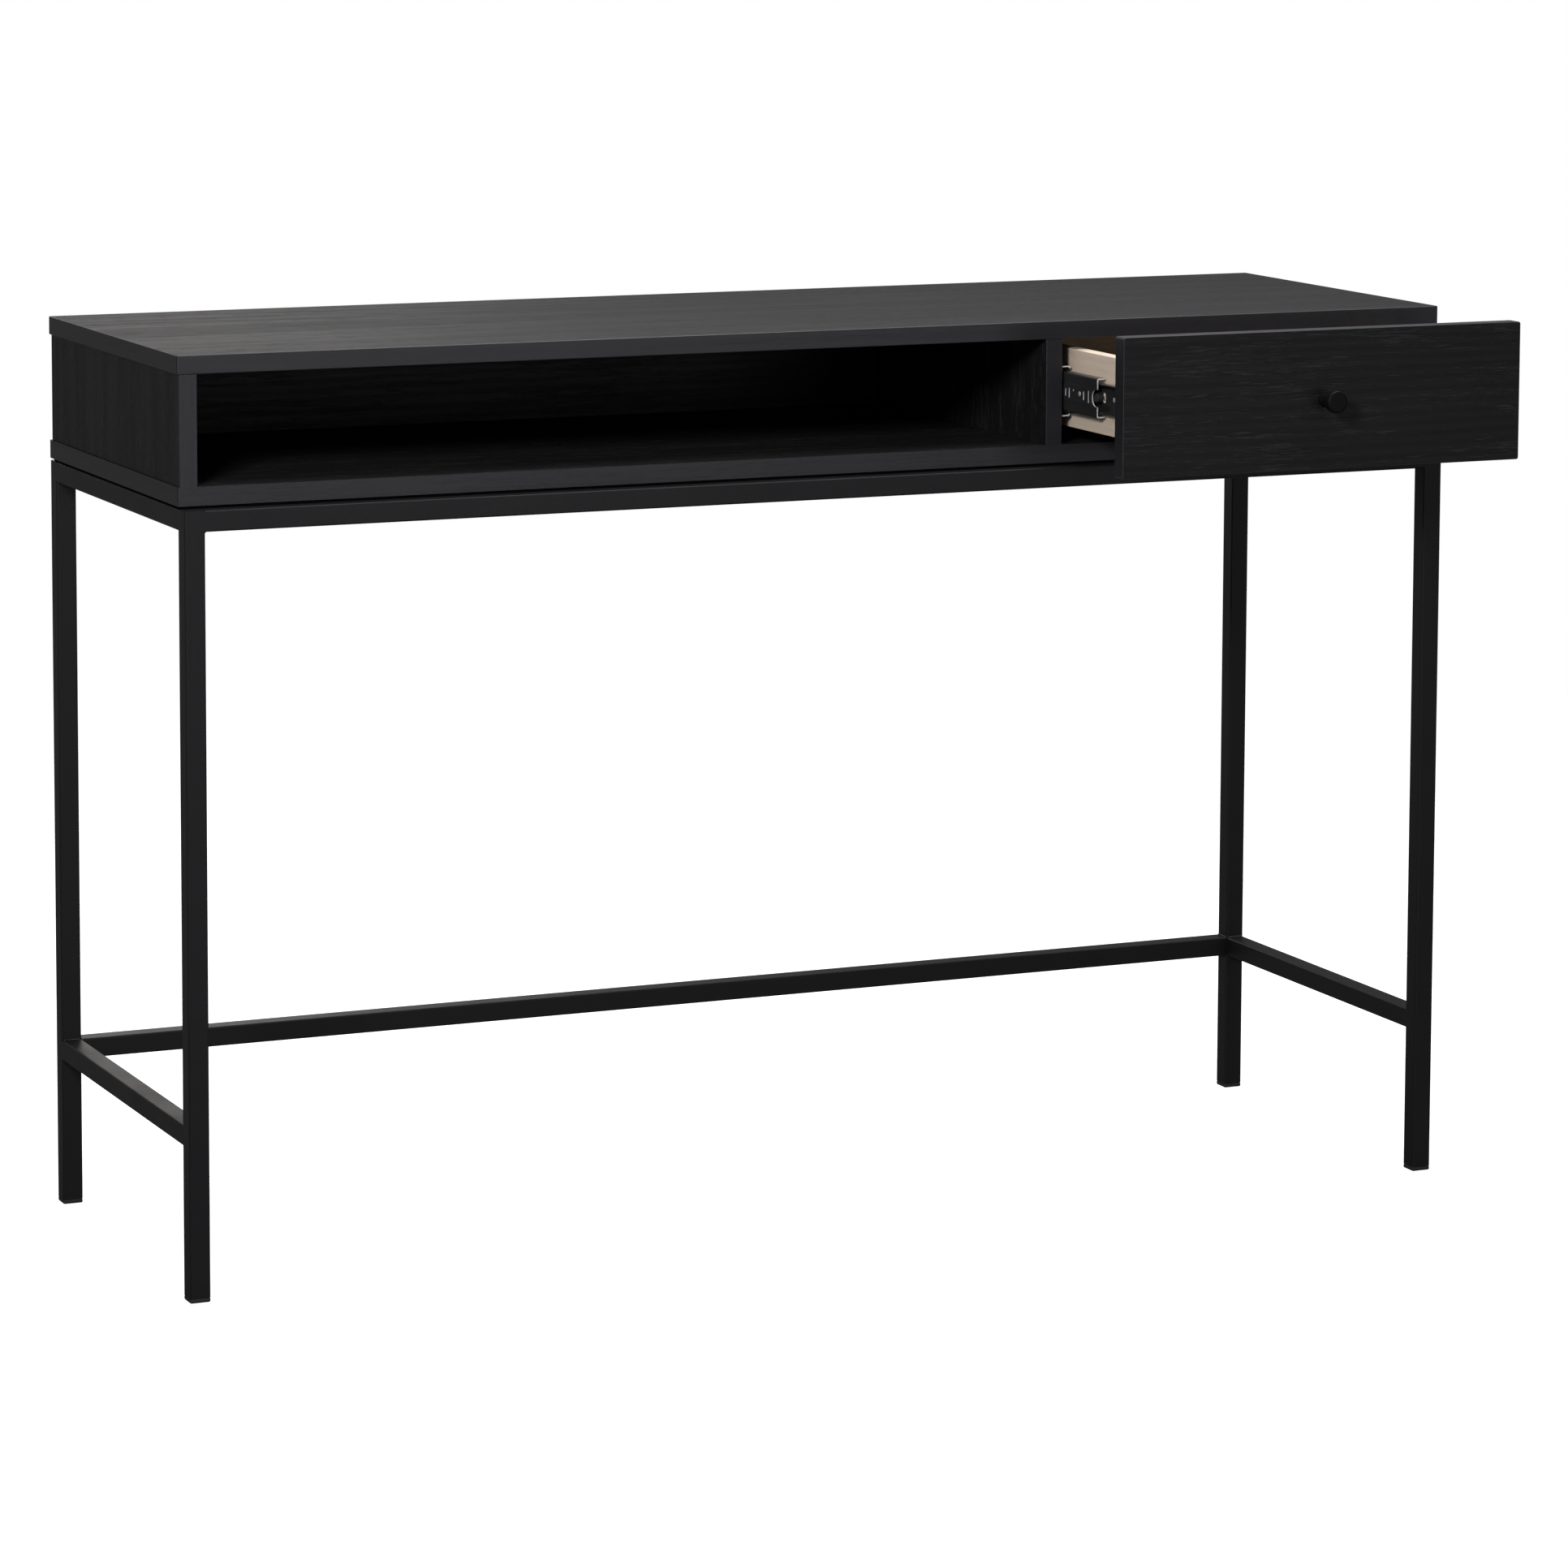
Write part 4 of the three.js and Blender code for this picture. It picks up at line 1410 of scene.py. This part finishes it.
def tidy_member(piece):
    """Gives the cut ends of a member the bright finish and shades it"""
    mesh = bmesh.new()
    mesh.from_mesh(piece.data)
    bmesh.ops.remove_doubles(mesh, verts=mesh.verts, dist=MERGE_DISTANCE)
    bmesh.ops.dissolve_degenerate(mesh, edges=mesh.edges, dist=MERGE_DISTANCE)
    mesh.normal_update()
    for face in mesh.faces:
        if abs(face.normal.y) > 0.98:
            face.material_index = 1
    mesh.to_mesh(piece.data)
    mesh.free()
    return smooth(piece, BENT_SHEET_ANGLE)


def punched(member, cutter):
    """Cuts the gathered slots through a member, with bright edges, and finishes it"""
    for face in cutter.faces:
        face.material_index = 1
    cut = new_object("cutter", cutter)
    set_finishes(cut, "slide", "cut_steel")
    return tidy_member(cut_with(member, cut))


def slide_frame(side):
    """Wall plane, direction away from it and middle height of one slide"""
    low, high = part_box("slide_cabinet_member_" + side)
    direction = 1 if side == "left" else -1
    wall = low.x if side == "left" else high.x
    return wall, direction, (low.z + high.z) / 2


def member_reach(node, wall, direction):
    """Nearest and furthest distance of a node from the wall, half height, and its two ends"""
    low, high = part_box(node)
    depths = sorted((direction * (low.x - wall), direction * (high.x - wall)))
    return depths[0], depths[1], (high.z - low.z) / 2, low.y, high.y


def cabinet_member(side, sizes):
    """Outer member, screwed to the cabinet, with turned-in lips"""
    node = "slide_cabinet_member_" + side
    wall, direction, height = slide_frame(side)
    near, far, half, front, rear = member_reach(node, wall, direction)
    sheet = sizes.sheet
    web = near + sheet / 2
    tip = far - sheet / 2
    flange = half - sheet / 2
    lip = half - sheet - LIP_RETURN
    upper = [(tip, lip), (tip, flange), (web, flange)]
    line = upper + [(x, -z) for x, z in reversed(upper)]
    outline = bent_outline(line, sheet, sizes.bend)
    member = new_object(node + "_sheet", swept(outline, direction, wall, height, front, rear))
    set_finishes(member, "slide", "cut_steel")
    cutter = bmesh.new()
    through = (near - MM, near + sheet + MM)
    screws = [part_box(f"cabinet_screw_{side}_{end}") for end in ("front", "rear")]
    for low, high in screws:
        y = (low.y + high.y) / 2
        slot_cutter(cutter, wall, direction, through, y, height, SCREW_HOLE, SCREW_HOLE)
    length = rear - front
    for share, wide, tall in CABINET_SLOTS:
        y = front + share * length
        slot_cutter(cutter, wall, direction, through, y, height, wide * MM, tall * MM)
    return seat(punched(member, cutter), "desk", "black_slide_steel", node)


def middle_member(side, sizes):
    """Middle member with a pressed web, slots and a notch for the stop at its front end"""
    node = "slide_middle_member_" + side
    wall, direction, height = slide_frame(side)
    near, far, half, front, rear = member_reach(node, wall, direction)
    sheet = sizes.sheet
    web = near + sheet / 2
    flange = half - sheet / 2
    line = [(far, flange), (web, flange), (web, -flange), (far, -flange)]
    outline = bent_outline(line, sheet, sizes.bend)
    member = new_object(node + "_sheet", swept(outline, direction, wall, height, front, rear))
    set_finishes(member, "slide", "cut_steel")
    pads = bmesh.new()
    last_pad = (LAST_PAD_START, rear - front - LAST_PAD_END_GAP)
    for start, end in MIDDLE_PADS + (last_pad,):
        pressed_pad(pads, wall, direction, near, front + start, front + end, height)
    raised = new_object("pads", pads)
    set_finishes(raised, "slide", "cut_steel")
    cut_with(member, raised, "UNION")
    cutter = bmesh.new()
    through = (near - 2 * MM, near + sheet + MM)
    notch = (STOP_NOTCH_LENGTH, STOP_NOTCH_HEIGHT)
    slot_cutter(cutter, wall, direction, through, front, height, *notch)
    for distance, wide, tall in MIDDLE_SLOTS:
        y = front + distance * MM
        slot_cutter(cutter, wall, direction, through, y, height, wide * MM, tall * MM)
    return seat(punched(member, cutter), "slide_middle_" + side, "black_slide_steel", node)


def drawer_member(side, sizes):
    """Inner member, screwed to the drawer's side"""
    node = "slide_drawer_member_" + side
    wall, direction, height = slide_frame(side)
    near, far, half, front, rear = member_reach(node, wall, direction)
    sheet = sizes.sheet
    web = far - sheet / 2
    flange = half - sheet / 2
    line = [(near, flange), (web, flange), (web, -flange), (near, -flange)]
    outline = bent_outline(line, sheet, 0.9 * sizes.bend)
    member = new_object(node + "_sheet", swept(outline, direction, wall, height, front, rear))
    set_finishes(member, "slide", "cut_steel")
    cutter = bmesh.new()
    through = (far - sheet - MM, far + MM)
    for end in ("front", "rear"):
        low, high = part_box(f"drawer_screw_{side}_{end}")
        y = (low.y + high.y) / 2
        slot_cutter(cutter, wall, direction, through, y, height, SCREW_HOLE, SCREW_HOLE)
    length = rear - front
    for share, wide, tall in DRAWER_SLOTS:
        y = front + share * length
        slot_cutter(cutter, wall, direction, through, y, height, wide * MM, tall * MM)
    return seat(punched(member, cutter), "drawer", "black_slide_steel", node)


class DESK_OT_slide_members(bpy.types.Operator):
    """Bends and punches the three members of each drawer slide"""

    bl_idname = "desk.slide_members"
    bl_label = "Slide members"

    def execute(self, context):
        sizes = context.scene.desk_sizes
        for side in SIDES:
            cabinet_member(side, sizes)
            middle_member(side, sizes)
            drawer_member(side, sizes)
        return {"FINISHED"}


class DESK_OT_slide_stops(bpy.types.Operator):
    """Makes the round stop in the front end of each middle member"""

    bl_idname = "desk.slide_stops"
    bl_label = "Slide stops"

    def execute(self, context):
        for side in SIDES:
            node = "slide_stop_" + side
            wall, direction, height = slide_frame(side)
            near, far, half, front, rear = member_reach(node, wall, direction)
            centre = (wall + direction * near, (front + rear) / 2, height)
            reach = far - near
            profile = [
                (0.0, 0.0),
                (0.30 * half, 0.0),
                (0.34 * half, 0.06 * reach),
                (0.55 * half, 0.06 * reach),
                (0.90 * half, 0.0),
                (half, 0.14 * reach),
                (half, 0.86 * reach),
                (0.88 * half, reach),
                (0.0, reach),
            ]
            outline = rounded_profile(profile, STOP_EASING, 4)
            mesh = revolved(outline, STOP_STEPS, centre, (direction, 0, 0))
            stop = new_object(node + "_bumper", mesh)
            set_finishes(stop, "rubber")
            seat(smooth(stop), "slide_middle_" + side, "black_plastic", node)
        return {"FINISHED"}


# rivets of the middle member: name, radius in millimetres, the dome's height as a share of the
# radius, and places in millimetres from the front end and from the middle height
MIDDLE_RIVETS = (
    ("middle_large", 2.2, 0.22, ((33, 0.7),)),
    ("middle_small", 1.0, 0.35, ((45, 2.8), (72, 1.4))),
)
RIVET_SINK = 1.2 * MM


def rivet_tree():
    """Domed heads on the points of the input mesh, flattened along X"""
    tree, board, given, leave = geometry_tree(
        "rivet_heads",
        [("Radius", FLOAT), ("Dome", FLOAT), ("Material", "NodeSocketMaterial")],
    )
    points = board.add("GeometryNodeMeshToPoints")
    board.feed(points.inputs[0], given["Geometry"])
    head = board.add("GeometryNodeMeshUVSphere")
    head.inputs["Segments"].default_value = 28
    head.inputs["Rings"].default_value = 16
    board.feed(head.inputs["Radius"], given["Radius"])
    flat = board.add("ShaderNodeCombineXYZ")
    board.feed(flat.inputs["X"], given["Dome"])
    flat.inputs["Y"].default_value = 1.0
    flat.inputs["Z"].default_value = 1.0
    heads = board.add("GeometryNodeInstanceOnPoints")
    board.feed(heads.inputs["Points"], points.outputs[0])
    board.feed(heads.inputs["Instance"], head.outputs[0])
    board.feed(heads.inputs["Scale"], flat.outputs[0])
    finish_tree(board, heads.outputs[0], given["Material"], leave)
    return tree


class DESK_OT_slide_rivets(bpy.types.Operator):
    """Sets the bright rivets in the webs of the slide members"""

    bl_idname = "desk.slide_rivets"
    bl_label = "Slide rivets"

    def execute(self, context):
        tree = rivet_tree()
        for side in SIDES:
            wall, direction, height = slide_frame(side)
            reach = member_reach("slide_middle_member_" + side, wall, direction)
            near, _far, _half, front, _rear = reach
            depth = wall + direction * (near - PAD_RISE)
            body = "slide_middle_" + side
            for label, radius, dome, places in MIDDLE_RIVETS:
                points = [(depth, front + y * MM, height + z * MM) for y, z in places]
                self.rivets(tree, f"rivets_{label}_{side}", points, radius * MM, dome, body)
            reach = member_reach("slide_drawer_member_" + side, wall, direction)
            _near, far, _half, front, _rear = reach
            points = [(wall + direction * (far - RIVET_SINK), front + 48 * MM, height)]
            self.rivets(tree, f"rivet_drawer_{side}", points, 2.2 * MM, 0.25, "drawer")
            reach = member_reach("slide_cabinet_member_" + side, wall, direction)
            near, _far, _half, front, _rear = reach
            depth = wall + direction * (near + RIVET_SINK)
            points = [(depth, front + 3.5 * MM, height + 0.7 * MM)]
            self.rivets(tree, f"rivet_cabinet_{side}", points, 1.6 * MM, 0.35, "desk")
        return {"FINISHED"}

    def rivets(self, tree, name, points, radius, dome, body):
        values = {"Radius": radius, "Dome": dome, "Material": Finishes.get("steel")}
        seat(grown(name, points, [], tree, values), body, "bright_steel")


# how far across their cage the balls lie, the inner balls' size against the outer ones' and how
# far the balls' middles lie inside the cage's height
BALL_DEPTH = 0.62
INNER_BALL_SHARE = 0.88
BALL_SINK = 0.3 * MM


def ball_tree():
    """Two straight rows of balls, one above the other"""
    tree, board, given, leave = geometry_tree(
        "ball_rows",
        [
            ("Count", "NodeSocketInt"),
            ("Start", VECTOR),
            ("Step", VECTOR),
            ("Rise", VECTOR),
            ("Radius", FLOAT),
            ("Material", "NodeSocketMaterial"),
        ],
    )
    rows = board.add("GeometryNodeJoinGeometry")
    for operation in ("ADD", "SUBTRACT"):
        place = board.add("ShaderNodeVectorMath", operation=operation)
        board.feed(place.inputs[0], given["Start"])
        board.feed(place.inputs[1], given["Rise"])
        row = board.add("GeometryNodeMeshLine", mode="OFFSET")
        board.feed(row.inputs["Count"], given["Count"])
        board.feed(row.inputs["Start Location"], place.outputs[0])
        board.feed(row.inputs["Offset"], given["Step"])
        tree.links.new(row.outputs[0], rows.inputs[0])
    ball = board.add("GeometryNodeMeshUVSphere")
    ball.inputs["Segments"].default_value = 10
    ball.inputs["Rings"].default_value = 7
    board.feed(ball.inputs["Radius"], given["Radius"])
    balls = board.add("GeometryNodeInstanceOnPoints")
    board.feed(balls.inputs["Points"], rows.outputs[0])
    board.feed(balls.inputs["Instance"], ball.outputs[0])
    finish_tree(board, balls.outputs[0], given["Material"], leave)
    return tree


class DESK_OT_ball_cages(bpy.types.Operator):
    """Makes the ball cages and fills each with two rows of balls"""

    bl_idname = "desk.ball_cages"
    bl_label = "Ball cages and balls"

    def execute(self, context):
        sizes = context.scene.desk_sizes
        tree = ball_tree()
        for side in SIDES:
            wall, direction, height = slide_frame(side)
            for ring, body in (("outer", f"outer_cage_{side}"), ("inner", f"inner_cage_{side}")):
                node = f"ball_cage_{ring}_{side}"
                refined_copy(node, node + "_strip", "steel", body, "bright_steel")
                near, far, half, front, rear = member_reach(node, wall, direction)
                step = (rear - front) / sizes.ball_count
                depth = near + BALL_DEPTH * (far - near)
                size = sizes.ball if ring == "outer" else INNER_BALL_SHARE * sizes.ball
                values = {
                    "Count": sizes.ball_count,
                    "Start": (wall + direction * depth, front + step / 2, height),
                    "Step": (0.0, step, 0.0),
                    "Rise": (0.0, 0.0, half - BALL_SINK),
                    "Radius": size / 2,
                    "Material": Finishes.get("ball_steel"),
                }
                balls = grown(f"balls_{ring}_{side}", [(0, 0, 0)], [], tree, values)
                seat(balls, body, "bright_steel")
        return {"FINISHED"}


class DESK_OT_slide_screws(bpy.types.Operator):
    """Makes the countersunk screws of the slide members"""

    bl_idname = "desk.slide_screws"
    bl_label = "Slide screws"

    def execute(self, context):
        for side in SIDES:
            for end in ("front", "rear"):
                node = f"cabinet_screw_{side}_{end}"
                refined_copy(node, node + "_piece", "steel", "desk", "bright_steel")
                node = f"drawer_screw_{side}_{end}"
                refined_copy(node, node + "_piece", "steel", "drawer", "bright_steel")
        return {"FINISHED"}


# ---------------------------------------------------------------- stage


FLOOR_RADIUS = 3.4
FLOOR_FADE_START = 1.8
FLOOR_FADE_END = 3.2
FLOOR_GLOW = 1.7
FLOOR_BOUNCE = 0.15
WHITE = (1.0, 1.0, 1.0)
WARM_WHITE = (1.0, 0.95, 0.91)
COOL_WHITE = (0.97, 0.98, 1.0)
# name, the setting with its power, place, target, size, colour and spread in degrees
LIGHTS = (
    ("ceiling_light", "ceiling", (0.5, 0.2, 2.9), (0.0, 0.0, 0.55), (2.6, 2.0), WHITE, 180),
    ("left_light", "window", (-1.9, -2.2, 1.95), (-0.3, 0.0, 0.9), (0.6, 0.6), WHITE, 120),
    ("rear_light", "rear", (0.0, 3.4, 1.35), (0.0, 0.2, 0.8), (1.9, 1.2), WARM_WHITE, 180),
    ("front_light", "front", (1.15, -4.6, 0.6), (-0.3, 0.0, 0.75), (1.3, 0.9), WHITE, 180),
)


def floor_material(colour):
    """Plain pale floor, kept from glaring into the black pieces and fading out at its rim"""
    material = bpy.data.materials.new("pale_floor")
    material.use_nodes = True
    material.node_tree.nodes.clear()
    board = NodeBoard(material.node_tree)
    lit = board.add("ShaderNodeBsdfDiffuse")
    lit.inputs["Color"].default_value = opaque(colour)
    glow = board.add("ShaderNodeEmission")
    glow.inputs["Strength"].default_value = FLOOR_GLOW
    bright = board.add("ShaderNodeMixShader")
    bright.inputs[0].default_value = 0.5
    board.feed(bright.inputs[1], lit.outputs[0])
    board.feed(bright.inputs[2], glow.outputs[0])
    muted = board.add("ShaderNodeBsdfDiffuse")
    muted.inputs["Color"].default_value = opaque(colour, FLOOR_BOUNCE)
    rays = board.add("ShaderNodeLightPath")
    seen = board.add("ShaderNodeMixShader")
    board.feed(seen.inputs[0], rays.outputs["Is Camera Ray"])
    board.feed(seen.inputs[1], muted.outputs[0])
    board.feed(seen.inputs[2], bright.outputs[0])
    reach = board.add("ShaderNodeVectorMath", operation="LENGTH")
    board.feed(reach.inputs[0], board.place())
    rim = board.add("ShaderNodeMixShader")
    board.feed(rim.inputs[0], board.span(reach.outputs["Value"], FLOOR_FADE_START, FLOOR_FADE_END))
    board.feed(rim.inputs[1], seen.outputs[0])
    clear = board.add("ShaderNodeBsdfTransparent")
    board.feed(rim.inputs[2], clear.outputs[0])
    output = board.add("ShaderNodeOutputMaterial")
    board.feed(output.inputs["Surface"], rim.outputs[0])
    return material


def area_light(name, power, place, target, size, colour, spread):
    """Soft rectangular light at a place, turned to its target and hidden from the camera"""
    data = bpy.data.lights.new(name, "AREA")
    data.shape = "RECTANGLE"
    data.size, data.size_y = size
    data.energy = power
    data.color = colour
    data.spread = math.radians(spread)
    light = bpy.data.objects.new(name, data)
    light.location = place
    aim = Vector(target) - Vector(place)
    light.rotation_euler = aim.to_track_quat("-Z", "Y").to_euler()
    light.visible_camera = False
    bpy.context.scene.collection.objects.link(light)
    return light


def studio_world(room):
    """Soft light from all round, with a white surround behind the desk"""
    world = bpy.data.worlds.new("studio")
    bpy.context.scene.world = world
    world.use_nodes = True
    world.node_tree.nodes.clear()
    board = NodeBoard(world.node_tree)
    rays = board.add("ShaderNodeLightPath")
    surround = board.add("ShaderNodeBackground")
    surround.inputs["Color"].default_value = opaque(WHITE)
    surround.inputs["Strength"].default_value = 1.0
    glow = board.add("ShaderNodeBackground")
    glow.inputs["Color"].default_value = opaque(COOL_WHITE)
    glow.inputs["Strength"].default_value = room
    mix = board.add("ShaderNodeMixShader")
    board.feed(mix.inputs[0], rays.outputs["Is Camera Ray"])
    board.feed(mix.inputs[1], glow.outputs[0])
    board.feed(mix.inputs[2], surround.outputs[0])
    output = board.add("ShaderNodeOutputWorld")
    board.feed(output.inputs["Surface"], mix.outputs[0])


class DESK_OT_stage(bpy.types.Operator):
    """Makes the floor, the lights and the camera"""

    bl_idname = "desk.stage"
    bl_label = "Stage"

    def execute(self, context):
        scene = context.scene
        studio = scene.desk_studio
        scene.view_settings.view_transform = "Standard"
        mesh = bmesh.new()
        bmesh.ops.create_circle(mesh, cap_ends=True, segments=96, radius=FLOOR_RADIUS)
        floor = new_object("floor", mesh)
        floor.data.materials.append(floor_material(studio.floor))
        for name, setting, *shape in LIGHTS:
            area_light(name, getattr(studio, setting), *shape)
        studio_world(studio.room)
        self.camera(scene, studio)
        return {"FINISHED"}

    def camera(self, scene, studio):
        """Camera at the desk's front left, turned, tilted and rolled in that order"""
        data = bpy.data.cameras.new("camera")
        data.sensor_width = 36.0
        data.lens = studio.lens
        data.shift_y = studio.rise
        data.clip_start = 0.05
        data.clip_end = 60.0
        camera = bpy.data.objects.new("camera", data)
        turn = Matrix.Rotation(-studio.turn, 4, "Z")
        tilt = Matrix.Rotation(math.radians(90) - studio.tilt, 4, "X")
        roll = Matrix.Rotation(studio.roll, 4, "Z")
        camera.matrix_world = Matrix.Translation(studio.camera) @ turn @ tilt @ roll
        scene.collection.objects.link(camera)
        scene.camera = camera


# ---------------------------------------------------------------- panel and main


STEPS = (
    "box_panels",
    "frame_tubes",
    "weld_beads",
    "glides_and_bolts",
    "drawer_front",
    "drawer_box",
    "knob",
    "slide_members",
    "slide_stops",
    "slide_rivets",
    "ball_cages",
    "slide_screws",
    "stage",
)


class DESK_PT_panel(bpy.types.Panel):
    """Lists the desk's sizes, colours and pieces"""

    bl_label = "Writing desk"
    bl_idname = "DESK_PT_panel"
    bl_space_type = "VIEW_3D"
    bl_region_type = "UI"
    bl_category = "Desk"

    def draw(self, context):
        layout = self.layout
        scene = context.scene
        for label, settings in (
            ("Sizes", scene.desk_sizes),
            ("Colours", scene.desk_colours),
            ("Studio", scene.desk_studio),
        ):
            box = layout.box()
            box.label(text=label)
            for name in settings.__annotations__:
                box.prop(settings, name)
        for step in STEPS:
            layout.operator("desk." + step)


CLASSES = (
    DeskPieceSizes,
    DeskFinishColours,
    DeskStudio,
    DESK_OT_box_panels,
    DESK_OT_frame_tubes,
    DESK_OT_weld_beads,
    DESK_OT_glides_and_bolts,
    DESK_OT_drawer_front,
    DESK_OT_drawer_box,
    DESK_OT_knob,
    DESK_OT_slide_members,
    DESK_OT_slide_stops,
    DESK_OT_slide_rivets,
    DESK_OT_ball_cages,
    DESK_OT_slide_screws,
    DESK_OT_stage,
    DESK_PT_panel,
)


def register():
    for cls in CLASSES:
        bpy.utils.register_class(cls)
    bpy.types.Scene.desk_sizes = PointerProperty(type=DeskPieceSizes)
    bpy.types.Scene.desk_colours = PointerProperty(type=DeskFinishColours)
    bpy.types.Scene.desk_studio = PointerProperty(type=DeskStudio)


def unregister():
    del bpy.types.Scene.desk_studio
    del bpy.types.Scene.desk_colours
    del bpy.types.Scene.desk_sizes
    for cls in reversed(CLASSES):
        bpy.utils.unregister_class(cls)


def main():
    """Builds every piece"""
    register()
    for step in STEPS:
        getattr(bpy.ops.desk, step)()


if __name__ == "__main__":
    main()
